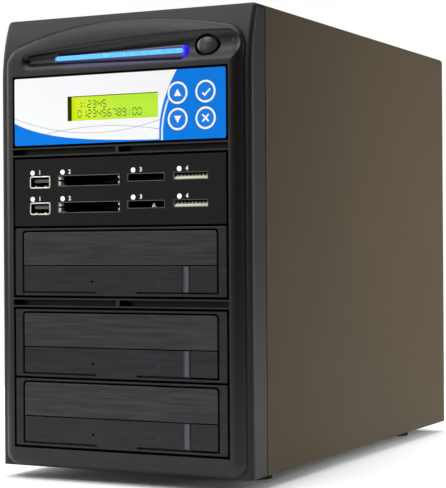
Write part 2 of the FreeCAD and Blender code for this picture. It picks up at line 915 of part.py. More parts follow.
def keypad_y():
    return key_end_y() + key_travel + stop_gap + switch_height


def make_control_fascia():
    face = front_y + overlay_thick
    back = face + fascia_plate
    shell = fascia_shell(control_z, face)
    collar = lcd_window(back - sunk, front_y + lcd_recess, lcd_lap)
    x = key_x + key_pitch_x / 2
    rises = (keypad_post_inset, panel_height - keypad_post_inset)
    posts = [disc(keypad_post, x, control_z + z, back - sunk, keypad_y()) for z in rises]
    shell = join(shell, collar, *posts)
    tools = [lcd_window(front_y - over, front_y + lcd_recess + over)]
    for x, z in key_places().values():
        tools.append(disc(key_radius + key_fit, x, z, front_y - over, back + over))
    return cut(shell, *tools)


def make_control_overlay():
    film = box(-half_panel, half_panel, front_y, front_y + overlay_thick, control_z, control_top)
    film = rounded(film, fascia_corner, rearward)
    tools = [lcd_window(front_y - over, front_y + over)]
    for x, z in key_places().values():
        tools.append(disc(key_radius + key_fit, x, z, front_y - over, front_y + over))
    return cut(film, *tools)


def make_key(x, z):
    cap = disc(key_radius, x, z, front_y, key_face_y())
    rim = disc(key_radius + key_flange, x, z, key_face_y(), key_face_y() + key_rim)
    stem = disc(key_stem, x, z, key_face_y(), key_end_y())
    return join(cap, rim, stem)


def make_keypad_board():
    y = keypad_y()
    x0 = lcd_x + lcd_board_width / 2 + keypad_gap
    plate = box(x0, half_panel - fascia_wall - keypad_side_gap, y, y + board,
                control_z + keypad_edge_gap, control_top - keypad_edge_gap)
    side = switch_side / 2
    solids = [plate]
    for x, z in key_places().values():
        solids.append(box(max(x - side, x0), x + side, y - switch_height, y, z - side, z + side))
    return group(solids)


def make_lcd_glass():
    y = front_y + lcd_recess
    return lcd_window(y, y + lcd_glass_thick, lcd_lap - lcd_glass_fit)


def make_lcd_module():
    y = front_y + lcd_recess
    z = control_z + lcd_rise
    w, h = lcd_can_width / 2, lcd_can_height / 2
    can = box(lcd_x - w, lcd_x + w, y, y + lcd_can_depth, z - h, z + h)
    can = cut(can, lcd_window(y - over, y + lcd_glass_thick, lcd_lap - lcd_glass_fit))
    w, h = lcd_board_width / 2, lcd_board_height / 2
    plate = box(lcd_x - w, lcd_x + w, y + lcd_can_depth, y + lcd_can_depth + board, z - h, z + h)
    return group([can, plate])


def make_carrier(floor, posts):
    low = floor + body_inset
    y0 = front_y + fascia_depth
    a, b = carrier_inner, body_half
    high = low + body_height - carrier_drop
    points = [(-b, low), (b, low), (b, high), (a, high), (a, low + sheet),
              (-a, low + sheet), (-a, high), (-b, high)]
    tray = prism([Vector(x, y0, z) for x, z in points], Vector(0, carrier_depth, 0))
    studs = [post(stud_radius, x, y, low + sheet - sunk, low + sheet + carrier_floor_gap) for x, y in posts]
    return join(tray, *studs) if studs else tray


def controller_posts():
    x = carrier_inner - stud_side
    y0 = front_y + fascia_depth + stud_front
    y1 = front_y + fascia_depth + carrier_depth - stud_rear
    return [(-x, y0), (x, y0), (-x, y1), (x, y1)]


def make_controller_board():
    low = control_z + body_inset + sheet + carrier_floor_gap
    top = low + board
    w = carrier_inner - controller_side
    y0 = front_y + fascia_depth + controller_front
    y1 = front_y + fascia_depth + carrier_depth - controller_rear
    half = heatsink_side / 2
    solids = [box(-w, w, y0, y1, low, top)]
    solids.append(box(-half, half, y0 + heatsink_setback, y0 + heatsink_setback + heatsink_side,
                      top, top + heatsink_height))
    for i in range(port_count):
        x = (i - (port_count - 1) / 2) * port_pitch
        solids.append(box(x - port_width / 2, x + port_width / 2, y1 - port_depth, y1,
                          top, top + port_height))
    for x in (-chip_x, chip_x):
        solids.append(box(x - chip_width / 2, x + chip_width / 2, y0 + chip_setback,
                          y0 + chip_setback + chip_depth, top, top + chip_height))
    return group(solids)


# Card-reader bay

def row_tops():
    return (reader_z + row_rise, reader_z + row_rise + row_pitch)


def slot(x, width, height, top, y0, y1, grow=0.0):
    return box(x - width / 2 - grow, x + width / 2 + grow, y0, y1, top - height - grow, top + grow)


card_slots = ((cf_x, cf_width, cf_height), (sd_x, sd_width, sd_height), (ms_x, ms_width, ms_height))


def make_reader_fascia():
    shell = fascia_shell(reader_z, front_y)
    back = front_y + fascia_plate
    tools = []
    for top in row_tops():
        tools.append(slot(usb_x, usb_width, usb_height, top, front_y - over, back + over))
        for x, width, height in card_slots:
            tools.append(slot(x, width, height, top, front_y - over, back + over))
        for x in lamp_x:
            tools.append(disc(lamp_radius + lamp_fit, x, top + lamp_rise, front_y - over, back + over))
    return cut(shell, *tools)


def make_card_sockets(x, width, height, depth):
    # moulded housings behind the slots, with a row of contacts across the far end
    y0 = front_y + fascia_plate
    solids = []
    for top in row_tops():
        housing = slot(x, width, height, top, y0, y0 + depth, socket_wall)
        back = y0 + depth - socket_back
        cavity = slot(x, width, height, top, y0 - over, back)
        comb = slot(x, width - 2 * contact_margin, contact_height, top - (height - contact_height) / 2,
                    back - contact_length, back + sunk)
        solids.append(join(cut(housing, cavity), comb))
    return group(solids)


def make_usb_sockets():
    y0 = front_y + usb_setback
    y1 = y0 + usb_depth
    solids = []
    for top in row_tops():
        shell = slot(usb_x, usb_width, usb_height, top, y0, y1, -usb_fit)
        cavity = slot(usb_x, usb_width, usb_height, top, y0 - over, y1 - usb_back, -usb_fit - usb_metal)
        saddle = box(usb_x - usb_width / 2, usb_x + usb_width / 2, front_y + fascia_plate, y1,
                     top - usb_fit - usb_metal / 2, top + socket_wall)
        solids.append(join(cut(shell, cavity), saddle))
        middle = top - usb_height / 2 + usb_tongue_lift
        half = usb_tongue_width / 2
        solids.append(box(usb_x - half, usb_x + half, y0 + usb_tongue_setback, y1 - usb_back,
                          middle - usb_tongue / 2, middle + usb_tongue / 2))
    return group(solids)


def make_reader_lamps():
    lamps = []
    for top in row_tops():
        for x in lamp_x:
            lamps.append(disc(lamp_radius, x, top + lamp_rise, front_y, front_y + fascia_plate))
    return group(lamps)


def make_reader_boards():
    y = front_y + fascia_plate
    solids = []
    for top in row_tops():
        low = top + socket_wall
        wide = half_panel - fascia_wall
        head = box(-wide, wide, y, front_y + fascia_depth, low, low + board)
        tail = box(-carrier_inner, carrier_inner, front_y + fascia_depth - sunk, y + reader_board_depth,
                   low, low + board)
        solids.append(join(head, tail))
    return group(solids)


# Drives

def make_drive(floor):
    face_back = front_y + face_depth
    reach = inset_width / 2
    low = floor + inset_foot
    high = floor + panel_height - inset_top
    door_low = high - door_height
    fascia_high = door_low - door_gap
    gap = inset_gap

    frame = rounded(box(-half_panel, half_panel, front_y, face_back, floor, floor + panel_height),
                    fascia_corner, rearward)
    doorway = rounded(box(-reach - gap, reach + gap, front_y - over, face_back + over,
                          fascia_high, high + gap), inset_corner, rearward, high)
    groove_y = front_y + inset_groove
    side_groove = box(-reach - gap, -reach, front_y - over, groove_y, low - gap, fascia_high + over)
    foot_left = box(-reach - gap, tab_left, front_y - over, groove_y, low - gap, low)
    foot_right = box(tab_right, reach + gap, front_y - over, groove_y, low - gap, low)
    flute_radius = flute_width ** 2 / (8 * flute_depth) + flute_depth / 2
    flute = post(flute_radius, flute_x, front_y + flute_depth - flute_radius, low, fascia_high + over)
    pinhole = disc(pinhole_radius, pinhole_x, floor + pinhole_rise, front_y - over, face_back + over)
    eject_left = flute_right + eject_fit
    eject_opening = box(flute_right, reach + gap, front_y - over, face_back + over,
                        low - gap, fascia_high + over)
    frame = cut(frame, doorway, side_groove, foot_left, foot_right, flute, pinhole, eject_opening)
    cap = rounded(box(eject_left, reach, front_y, eject_flange_y, low, fascia_high), eject_corner, rearward)
    eject_back = box(flute_right - eject_flange, reach + gap + eject_flange, eject_flange_y,
                     eject_flange_y + eject_flange_thick, low, fascia_high)
    eject = join(cap, eject_back)
    door = rounded(box(-reach, reach, front_y, front_y + door_thick, door_low, high),
                   inset_corner - gap / 2, rearward, high - sunk)

    shell_low = floor + body_inset
    shell_high = shell_low + body_height
    shell = box(-body_half, body_half, face_back, front_y + drive_depth, shell_low, shell_high)
    room = box(-body_half + shell_wall, body_half - shell_wall, face_back - over,
               front_y + drive_depth - shell_wall, shell_low + shell_wall, shell_high - shell_wall)
    shell = cut(shell, room)

    tray_low = door_low + tray_rise
    tray_high = tray_low + tray_thick
    tray_y = front_y + door_thick
    disc_y = tray_y + disc_margin + disc_radius
    half_tray = tray_width / 2
    tray = rounded(box(-half_tray, half_tray, tray_y, tray_y + tray_depth, tray_low, tray_high),
                   tray_corner, upward)
    well = post(disc_radius, 0, disc_y, tray_high - disc_sink, tray_high + over)
    small_well = post(small_disc_radius, 0, disc_y, tray_high - disc_sink - small_disc_sink, tray_high)
    slot_half = spindle_slot / 2
    spindle = rounded(box(-slot_half, slot_half, disc_y - slot_half, tray_y + tray_depth - spindle_slot_rear,
                          tray_low - over, tray_high + over), spindle_corner, upward)
    finger_x = half_tray - finger_radius - finger_margin
    finger = post(finger_radius, finger_x, tray_y + finger_radius + disc_margin,
                  tray_high - disc_sink, tray_high + over)
    tray = cut(tray, well, small_well, spindle, finger, mirrored(finger))

    deck_low = shell_low + shell_wall
    deck_top = deck_low + deck_floor
    y0, y1 = deck_y, front_y + deck_rear
    w = deck_width / 2
    plate = box(-w, w, y0, y1, deck_low, deck_top)
    wall = half_tray + rail_gap
    ledge_high, cap_low = tray_low - rail_gap, tray_high + rail_gap
    points = [(w, deck_low), (w, cap_low + rail_thick), (wall - rail_ledge, cap_low + rail_thick),
              (wall - rail_ledge, cap_low), (wall, cap_low), (wall, ledge_high),
              (wall - rail_ledge, ledge_high),
              (wall - rail_ledge, ledge_high - rail_thick), (w - rail_thick, ledge_high - rail_thick),
              (w - rail_thick, deck_low)]
    rail = prism([Vector(x, y0, z) for x, z in points], Vector(0, y1 - y0, 0))
    motor_top = deck_top + motor_height
    motor = post(motor_radius, 0, disc_y, deck_top - sunk, motor_top)
    bore = post(shaft_radius + shaft_fit, 0, disc_y, deck_top + bearing_floor, motor_top + over)
    frame_of_deck = cut(join(plate, rail, mirrored(rail), motor), bore)
    pickup_y = disc_y + motor_radius + pickup_gap
    pickup = box(-pickup_width / 2, pickup_width / 2, pickup_y, pickup_y + pickup_depth,
                 deck_top, deck_top + pickup_height)
    deck = group([frame_of_deck, pickup])

    table_low = motor_top + collar_gap
    table = post(turntable_radius, 0, disc_y, table_low, table_low + turntable_thick)
    hub = Part.makeCone(hub_radius, hub_radius - hub_taper, hub_height,
                        Vector(0, disc_y, table_low + turntable_thick), upward)
    shaft = post(shaft_radius, 0, disc_y, deck_top + bearing_floor + shaft_end_gap, table_low)
    turntable = join(table, hub, shaft)
    return {"bezel": frame, "eject": eject, "door": door, "shell": shell, "tray": tray, "deck": deck,
            "turntable": turntable}


# Rear

def fan_screw_places():
    p = fan_pitch / 2
    return [(-p, fan_z - p), (p, fan_z - p), (-p, fan_z + p), (p, fan_z + p)]


def make_fan_frame():
    s = fan_side / 2
    y1 = rear_inner_y
    y0 = y1 - fan_depth
    rear = rounded(box(-s, s, y1 - fan_flange, y1, fan_z - s, fan_z + s), fan_corner, rearward)
    front = rear.translated(Vector(0, fan_flange - fan_depth, 0))
    duct = disc(fan_bore + fan_wall, 0, fan_z, y0, y1)
    tools = [disc(fan_bore, 0, fan_z, y0 - over, y1 + over)]
    for x, z in fan_screw_places():
        tools.append(disc(screw_radius + screw_fit, x, z, y1 - fan_flange - over, y1 + over))
    frame = cut(join(rear, front, duct), *tools)
    mount = disc(hub_of_fan, 0, fan_z, y1 - strut_thick, y1)
    struts = []
    for i in range(strut_count):
        strut = box(hub_of_fan - strut_sink, fan_bore + fan_wall / 2, y1 - strut_thick, y1,
                    fan_z - strut_width / 2, fan_z + strut_width / 2)
        strut.rotate(Vector(0, 0, fan_z), rearward, 360.0 / strut_count * i)
        struts.append(strut)
    bore = disc(shaft_radius + shaft_fit, 0, fan_z, y1 - strut_thick - over, y1 - bearing_floor)
    return cut(join(frame, mount, *struts), bore)


def make_fan_rotor():
    y1 = rear_inner_y - strut_thick - collar_gap
    y0 = rear_inner_y - fan_depth + rotor_setback
    middle = (y0 + y1) / 2
    hub = disc(hub_of_fan, 0, fan_z, y0, y1)
    shaft = disc(shaft_radius, 0, fan_z, y1 - sunk, rear_inner_y - bearing_floor - shaft_end_gap)

    def section(r, pitch):
        lean = math.radians(pitch)
        along = Vector(0, math.sin(lean), math.cos(lean)) * (blade_chord / 2)
        thick = Vector(0, math.cos(lean), -math.sin(lean)) * (blade_thick / 2)
        heart = Vector(r, middle, fan_z)
        points = [heart - along - thick, heart + along - thick, heart + along + thick, heart - along + thick]
        return Part.makePolygon(points + [points[0]])

    root = section(hub_of_fan - blade_sink, blade_pitch_root)
    blade = Part.makeLoft([root, section(blade_tip, blade_pitch_tip)], True, True)
    blades = []
    for i in range(blade_count):
        one = blade.copy()
        one.rotate(Vector(0, 0, fan_z), rearward, 360.0 / blade_count * i)
        blades.append(one)
    return join(hub, shaft, *blades)


def ring_of(radius, y0, y1):
    # faceted wire ring
    def loop(r):
        points = []
        for i in range(guard_sides):
            angle = 2 * math.pi * i / guard_sides
            points.append(Vector(r * math.cos(angle), y0, fan_z + r * math.sin(angle)))
        return prism(points, Vector(0, y1 - y0, 0))
    return cut(loop(radius + wire / 2), loop(radius - wire / 2))


def make_fan_guard():
    y0 = rear_outer_y
    rings = [ring_of(r, y0 + wire - weld, y0 + 2 * wire - weld) for r in guard_rings]
    reach = fan_pitch / 2 * math.sqrt(2)
    arms = []
    eyes = []
    holes = []
    corners = fan_screw_places()
    for i in range(len(corners)):
        arm = box(guard_rings[0] - wire / 2, reach - eyelet_radius + weld, y0, y0 + wire,
                  fan_z - wire / 2, fan_z + wire / 2)
        arm.rotate(Vector(0, 0, fan_z), rearward, 360.0 / len(corners) * (i + 0.5))
        arms.append(arm)
    for x, z in corners:
        eyes.append(disc(eyelet_radius, x, z, y0, y0 + wire))
        holes.append(disc(screw_radius + screw_fit, x, z, y0 - over, y0 + wire + over))
    return cut(join(rings[0], *rings[1:], *arms, *eyes), *holes)


def make_fan_screws():
    screws = []
    for x, z in fan_screw_places():
        seat = rear_outer_y + wire
        head = disc(fan_screw_radius, x, z, seat, seat + fan_screw_head)
        shank = disc(screw_radius, x, z, rear_inner_y - fan_flange, seat)
        screws.append(join(head, shank))
    return group(screws)


def make_psu_case():
    w = psu_width / 2
    y0, y1 = rear_inner_y - psu_depth, rear_inner_y
    case = box(-w, w, y0, y1, psu_floor, psu_top)
    room = box(-w + sheet, w - sheet, y0 + sheet, y1 - sheet, psu_floor + sheet, psu_top - sheet)
    tools = [room]
    slot_run = psu_window - psu_slot_margin - psu_slot_width - psu_slot_x
    tall = psu_slot_height / 2
    for i in range(int(slot_run / psu_slot_pitch) + 1):
        x = psu_slot_x + i * psu_slot_pitch
        tools.append(box(x, x + psu_slot_width, y1 - sheet - over, y1 + over,
                         psu_middle - tall, psu_middle + tall))
    grow = 2 * inlet_wall
    hx, hz = (inlet_width + grow) / 2, (inlet_height + grow) / 2
    tools.append(box(inlet_x - hx, inlet_x + hx, y1 - sheet - over, y1 + over, inlet_z - hz, inlet_z + hz))
    hx, hz = rocker_housing()
    tools.append(box(inlet_x - hx, inlet_x + hx, y1 - sheet - over, y1 + over, rocker_z - hz, rocker_z + hz))
    for side in (-1, 1):
        for z in psu_screw_z:
            tools.append(rear_hole(side * psu_screw_x, z, y1 - sheet - over, y1 + over))
    return cut(case, *tools)


def rocker_housing():
    return (rocker_width / 2 + rocker_gap + rocker_side_wall,
            rocker_height / 2 + rocker_gap + rocker_end_wall)


def make_psu_inlet():
    y = rear_inner_y
    w, h = inlet_plate_width / 2, inlet_plate_height / 2
    plate = rounded(box(inlet_x - w, inlet_x + w, y, y + inlet_plate, psu_middle - h, psu_middle + h),
                    inlet_corner, rearward)
    hx, hz = inlet_width / 2, inlet_height / 2
    z = inlet_z
    housing = box(inlet_x - hx - inlet_wall, inlet_x + hx + inlet_wall,
                  y - inlet_depth - inlet_wall, y + sunk, z - hz - inlet_wall, z + hz + inlet_wall)
    c = inlet_chamfer
    points = [(-hx, -hz), (hx, -hz), (hx, hz - c), (hx - c, hz), (-hx + c, hz), (-hx, hz - c)]
    mouth = prism([Vector(inlet_x + px, y - inlet_depth, z + pz) for px, pz in points],
                  Vector(0, inlet_depth + inlet_plate + over, 0))
    rx, rz = rocker_housing()
    zr = rocker_z
    ry = y - rocker_axle_depth
    nest = box(inlet_x - rx, inlet_x + rx, y - rocker_depth - inlet_wall, y + sunk, zr - rz, zr + rz)
    gx, gz = rocker_width / 2 + rocker_gap, rocker_height / 2 + rocker_gap
    well = box(inlet_x - gx, inlet_x + gx, y - rocker_depth, y + inlet_plate + over, zr - gz, zr + gz)
    hold = rx - rocker_axle_wall
    axle = Part.makeCylinder(rocker_axle + shaft_fit, 2 * hold, Vector(inlet_x - hold, ry, zr), across)
    body = cut(join(plate, housing, nest), mouth, well, axle)
    solids = [body]
    for px, pz in ((-pin_pitch, -pin_drop), (0.0, earth_pin_rise), (pin_pitch, -pin_drop)):
        solids.append(box(inlet_x + px - pin_width / 2, inlet_x + px + pin_width / 2, y - inlet_depth,
                          y - inlet_depth + pin_length, z + pz - pin_height / 2, z + pz + pin_height / 2))
    return group(solids)


def make_psu_rocker():
    y = rear_inner_y - rocker_axle_depth
    z = rocker_z
    h, heel = rocker_height / 2, rocker_heel / 2
    face = rocker_axle_depth + inlet_plate + rocker_proud
    points = [(-rocker_back, -heel), (face, -h), (face - rocker_dish, 0), (face, h), (-rocker_back, heel)]
    x0 = inlet_x - rocker_width / 2
    body = prism([Vector(x0, y + py, z + pz) for py, pz in points], Vector(rocker_width, 0, 0))
    rx, _ = rocker_housing()
    hold = rx - rocker_axle_wall - rocker_axle_gap
    axle = Part.makeCylinder(rocker_axle, 2 * hold, Vector(inlet_x - hold, y, z), across)
    rocker = join(body, axle)
    rocker.rotate(Vector(inlet_x, y, z), across, rocker_tilt)
    return rocker


pieces = {
    "wrap_cover": make_wrap_cover(),
    "base_pan": make_base_pan(),
    "front_plate": make_front_plate(),
    "drive_cage": make_drive_cage(),
    "rear_panel": make_rear_panel(),
    "rubber_feet": make_feet(),
    "rear_screws": make_rear_screws(),
    "drive_screws": make_drive_screws(),
    "front_bezel": make_front_bezel(),
    "light_bar": make_light_bar(),
    "power_button": make_power_button(),
    "led_board": make_led_board(),
    "control_fascia": make_control_fascia(),
    "control_overlay": make_control_overlay(),
    "keypad_board": make_keypad_board(),
    "lcd_glass": make_lcd_glass(),
    "lcd_module": make_lcd_module(),
    "controller_carrier": make_carrier(control_z, controller_posts()),
    "controller_board": make_controller_board(),
    "reader_fascia": make_reader_fascia(),
    "usb_sockets": make_usb_sockets(),
    "cf_sockets": make_card_sockets(cf_x, cf_width, cf_height, cf_depth),
    "sd_sockets": make_card_sockets(sd_x, sd_width, sd_height, sd_depth),
    "ms_sockets": make_card_sockets(ms_x, ms_width, ms_height, ms_depth),
    "reader_lamps": make_reader_lamps(),
    "reader_boards": make_reader_boards(),
    "reader_carrier": make_carrier(reader_z, []),
    "fan_frame": make_fan_frame(),
    "fan_rotor": make_fan_rotor(),
    "fan_guard": make_fan_guard(),
    "fan_screws": make_fan_screws(),
    "psu_case": make_psu_case(),
    "psu_inlet": make_psu_inlet(),
    "psu_rocker": make_psu_rocker(),
}
for name, (x, z) in key_places().items():
    pieces[name] = make_key(x, z)
for number, floor in ((1, drive_1_z), (2, drive_2_z), (3, drive_3_z)):
    for name, shape in make_drive(floor).items():
        pieces["drive_%d_%s" % (number, name)] = shape

for name, shape in pieces.items():
    shape.exportStep("parts/%s.step" % name)
    print(name, len(shape.Solids), "valid" if shape.isValid() else "NOT VALID", round(shape.Volume))
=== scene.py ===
import math
import bmesh
import bpy
from mathutils import Matrix, Vector
from mathutils.bvhtree import BVHTree
from mathutils.interpolate import poly_3d_calc


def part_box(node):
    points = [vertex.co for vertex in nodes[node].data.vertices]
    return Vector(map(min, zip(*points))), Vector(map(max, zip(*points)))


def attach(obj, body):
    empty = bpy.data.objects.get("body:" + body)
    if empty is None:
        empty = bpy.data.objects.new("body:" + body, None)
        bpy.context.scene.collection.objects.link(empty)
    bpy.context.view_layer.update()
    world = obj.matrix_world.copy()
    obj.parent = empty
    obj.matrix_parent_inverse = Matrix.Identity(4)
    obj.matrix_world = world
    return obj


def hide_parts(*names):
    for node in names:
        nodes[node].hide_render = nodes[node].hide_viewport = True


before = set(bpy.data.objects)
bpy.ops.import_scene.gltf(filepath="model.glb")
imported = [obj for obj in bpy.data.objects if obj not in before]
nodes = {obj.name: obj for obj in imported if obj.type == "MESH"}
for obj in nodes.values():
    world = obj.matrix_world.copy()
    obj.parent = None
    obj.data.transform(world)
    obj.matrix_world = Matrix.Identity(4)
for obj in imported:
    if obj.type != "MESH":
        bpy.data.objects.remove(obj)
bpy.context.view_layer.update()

scene = bpy.context.scene
mm = 0.001
metre = 1000.0                                  # in mm


class Value:                                    # a shader socket that can be added, scaled and compared
    def __init__(self, finish, socket):
        self.finish = finish
        self.socket = socket

    def maths(self, operation, first, second=0.0):
        return self.finish.node("ShaderNodeMath", {"operation": operation}, {0: first, 1: second})

    def __add__(self, other):
        return self.maths("ADD", self, other)

    def __radd__(self, other):
        return self.maths("ADD", other, self)

    def __sub__(self, other):
        return self.maths("SUBTRACT", self, other)

    def __rsub__(self, other):
        return self.maths("SUBTRACT", other, self)

    def __mul__(self, other):
        return self.maths("MULTIPLY", self, other)

    def __rmul__(self, other):
        return self.maths("MULTIPLY", other, self)

    def __pow__(self, other):
        return self.maths("POWER", self, other)

    def __abs__(self):
        return self.maths("ABSOLUTE", self)

    def __neg__(self):
        return self.maths("MULTIPLY", self, -1.0)

    def exp(self):
        return self.maths("EXPONENT", self)

    def both(self, other):
        return self.maths("MINIMUM", self, other)

    def either(self, other):
        return self.maths("MAXIMUM", self, other)

    def rise(self, low, high):                  # 0 below low, 1 above high
        return self.finish.node("ShaderNodeMapRange", {"interpolation_type": "SMOOTHSTEP"},
                                {0: self, 1: low, 2: high})

    def band(self, low, high, soft):            # 1 between two levels
        return self.rise(low - soft, low + soft) * (1.0 - self.rise(high - soft, high + soft))


class Finish:                                   # one procedural material
    def __init__(self, name):
        self.material = bpy.data.materials.new(name)
        self.material.use_nodes = True
        self.tree = self.material.node_tree
        self.shader = self.tree.nodes["Principled BSDF"]
        self.place = None

    def put(self, socket, value):
        if isinstance(value, Value):
            self.tree.links.new(value.socket, socket)
        else:
            socket.default_value = value

    def node(self, kind, settings, inputs, output=0):
        made = self.tree.nodes.new(kind)
        for key, value in settings.items():
            setattr(made, key, value)
        for key, value in inputs.items():
            self.put(made.inputs[key], value)
        return Value(self, made.outputs[output])

    def coords(self):
        if self.place is None:
            self.place = self.node("ShaderNodeTexCoord", {}, {}, 3)
        return self.place

    def axes(self):                             # x, y and z in millimetres
        scaled = self.node("ShaderNodeVectorMath", {"operation": "SCALE"}, {0: self.coords(), 3: metre})
        split = self.tree.nodes.new("ShaderNodeSeparateXYZ")
        self.put(split.inputs[0], scaled)
        return [Value(self, out) for out in split.outputs]

    def noise(self, size, detail=2.0, stretch=(1, 1, 1)):      # size of a grain in mm
        spread = tuple(metre / (size * s) for s in stretch)
        spot = self.node("ShaderNodeMapping", {"vector_type": "POINT"}, {0: self.coords(), 3: spread})
        return self.node("ShaderNodeTexNoise", {}, {"Vector": spot, "Scale": 1.0, "Detail": detail})

    def cells(self, size):                      # one flat tone for each cell
        return self.node("ShaderNodeTexVoronoi", {}, {"Vector": self.coords(), "Scale": metre / size}, 1)

    def mix(self, factor, first, second):
        return self.node("ShaderNodeMix", {"data_type": "RGBA"}, {0: factor, 6: first, 7: second}, 2)

    def bump(self, height, depth):              # depth in mm
        return self.node("ShaderNodeBump", {}, {"Height": height, "Distance": depth * mm, "Strength": 1.0})

    def dress(self, **sockets):
        names = {"colour": "Base Color", "rough": "Roughness", "metal": "Metallic", "normal": "Normal",
                 "glow": "Emission Color", "glowPower": "Emission Strength", "specular": "Specular IOR Level"}
        for key, value in sockets.items():
            self.put(self.shader.inputs[names[key]], value)
        return self.material


def rgb(red, green, blue):                      # from 0 to 255 as on screen
    def linear(c):
        c = c / 255.0
        return c / 12.92 if c <= 0.04045 else ((c + 0.055) / 1.055) ** 2.4
    return (linear(red), linear(green), linear(blue), 1.0)


def spanOf(node):                               # low and high corners of a CAD node in mm
    low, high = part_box(node)
    return low / mm, high / mm


def placed(name, data):                         # a new object in the scene
    obj = bpy.data.objects.new(name, data)
    scene.collection.objects.link(obj)
    return obj


# Places that several pieces share, read from the frame in mm
frontY = spanOf("front_bezel")[0].y
readerFloor = spanOf("reader_fascia")[0].z
drives = (1, 2, 3)
driveFloor = {number: spanOf("drive_%d_bezel" % number)[0].z for number in drives}
rowTops = [readerFloor + rise for rise in (14.7, 31.1)]        # upper edges of the two rows of sockets


# Finishes: grains and bump depths in mm, tones as on screen
black = (0.0, 0.0, 0.0, 1.0)
white = (1.0, 1.0, 1.0, 1.0)


def paintedSteel(name, dark, light):
    look = Finish(name)
    tone = look.noise(60.0, detail=3.0)
    peel = look.noise(1.6)
    grit = look.noise(0.45, detail=1.0)
    return look.dress(colour=look.mix(tone, dark, light), rough=0.58 + 0.10 * peel,
                      normal=look.bump(0.6 * peel + 0.4 * grit, 0.03), specular=0.06)


def mouldedPlastic(name, dark, light, rough, grain=0.5, depth=0.02, specular=0.25):
    look = Finish(name)
    tone = look.noise(35.0, detail=3.0)
    texture = look.noise(grain)
    return look.dress(colour=look.mix(tone, dark, light), rough=rough + 0.10 * (texture - 0.5),
                      normal=look.bump(texture, depth), specular=specular)


def zincSteel(name, dark, light, rough):
    look = Finish(name)
    flake = look.cells(9.0)
    cloud = look.noise(40.0, detail=4.0)
    draw = look.noise(0.35, stretch=(90.0, 1.0, 1.0))
    blend = look.mix(0.5, flake, cloud)
    return look.dress(colour=look.mix(blend, dark, light), metal=1.0, rough=rough + 0.14 * cloud,
                      normal=look.bump(draw, 0.004))


def brightMetal(name, tone, rough):
    look = Finish(name)
    wear = look.noise(3.0, detail=4.0)
    return look.dress(colour=look.mix(wear, tone, tuple(0.8 * c for c in tone[:3]) + (1.0,)), metal=1.0,
                      rough=rough + 0.15 * wear)


def solderMask(name):
    look = Finish(name)
    tracks = look.noise(2.2, stretch=(6.0, 1.0, 1.0)).rise(0.48, 0.52)
    return look.dress(colour=look.mix(tracks, rgb(12, 70, 38), rgb(20, 96, 50)), rough=0.35,
                      normal=look.bump(tracks, 0.03))


brush = {"dip": 0.35, "crest": 0.65, "swing": 0.16, "depth": 0.02}             # streaks along X


def brushStreak(look):
    broad = look.noise(2.6, detail=3.0, stretch=(14.0, 1.0, 1.0))
    fine = look.noise(0.9, stretch=(22.0, 1.0, 1.0))
    return 0.55 * broad + 0.45 * fine


def brushTone(look, streak, dark, light):
    return look.mix(streak.rise(brush["dip"], brush["crest"]), dark, light)


def brushedDoor(name, dark, light, rough):
    look = Finish(name)
    streak = brushStreak(look)
    return look.dress(colour=brushTone(look, streak, dark, light), rough=rough + brush["swing"] * (streak - 0.5),
                      normal=look.bump(streak, brush["depth"]), specular=0.3)


plastics = {
    "fascia": mouldedPlastic("fasciaPlastic", rgb(20, 20, 20), rgb(24, 24, 24), 0.5),
    "reader": mouldedPlastic("readerPlastic", rgb(13, 13, 13), rgb(17, 17, 16), 0.55, 0.7, 0.03, 0.15),
    "socket": mouldedPlastic("socketPlastic", rgb(8, 8, 8), rgb(12, 12, 12), 0.5),
    "tray": mouldedPlastic("trayPlastic", rgb(26, 26, 27), rgb(32, 32, 33), 0.42),
    "deck": mouldedPlastic("deckPlastic", rgb(58, 58, 60), rgb(70, 70, 72), 0.5),
    "fan": mouldedPlastic("fanPlastic", rgb(16, 16, 16), rgb(22, 22, 22), 0.45),
    "inlet": mouldedPlastic("inletPlastic", rgb(14, 14, 14), rgb(20, 20, 20), 0.35),
    "button": mouldedPlastic("buttonPlastic", rgb(52, 52, 55), rgb(62, 62, 65), 0.28, 0.5, 0.02, 0.4),
    "rubber": mouldedPlastic("footRubber", rgb(14, 14, 14), rgb(20, 20, 20), 0.75, 0.8, 0.05),
    "ivory": mouldedPlastic("contactIvory", rgb(222, 216, 190), rgb(240, 236, 218), 0.4),
    "liner": mouldedPlastic("linerPlastic", rgb(96, 96, 92), rgb(122, 122, 118), 0.4),
    "print": mouldedPlastic("whitePrint", rgb(226, 226, 226), rgb(242, 242, 242), 0.5),
}
coverPaint = paintedSteel("coverPaint", rgb(69, 61, 50), rgb(75, 67, 55))
chassisSteel = zincSteel("chassisSteel", rgb(150, 152, 154), rgb(188, 190, 191), 0.26)
psuSteel = zincSteel("psuSteel", rgb(138, 140, 143), rgb(172, 174, 176), 0.30)
screwSteel = brightMetal("screwSteel", rgb(196, 196, 192), 0.22)
shellMetal = brightMetal("shellMetal", rgb(226, 224, 218), 0.20)
contactGold = brightMetal("contactGold", rgb(214, 178, 96), 0.22)
guardChrome = brightMetal("guardChrome", rgb(204, 206, 208), 0.10)
boardMask = solderMask("boardMask")
doorBrushed = brushedDoor("doorBrushed", rgb(24, 21, 24), rgb(48, 44, 48), 0.40)


# Plastic of the front: black, with the violet light that the lit bar throws on the lip below it painted on as a
# glow
frontSkin = {"dark": rgb(20, 19, 17), "light": rgb(25, 24, 22), "grain": 0.5, "depth": 0.02, "rough": 0.38,
             "rougher": 0.12, "surround": (4.0, 6.0), "specular": 0.32}         # the surround is rougher
paintedBarLight = {"low": 254.6, "high": 259.6, "soft": 1.4, "left": -40.0, "right": 50.0, "endSoft": 8.0,
             "face": (168.0, 170.0), "tone": rgb(38, 34, 70)}


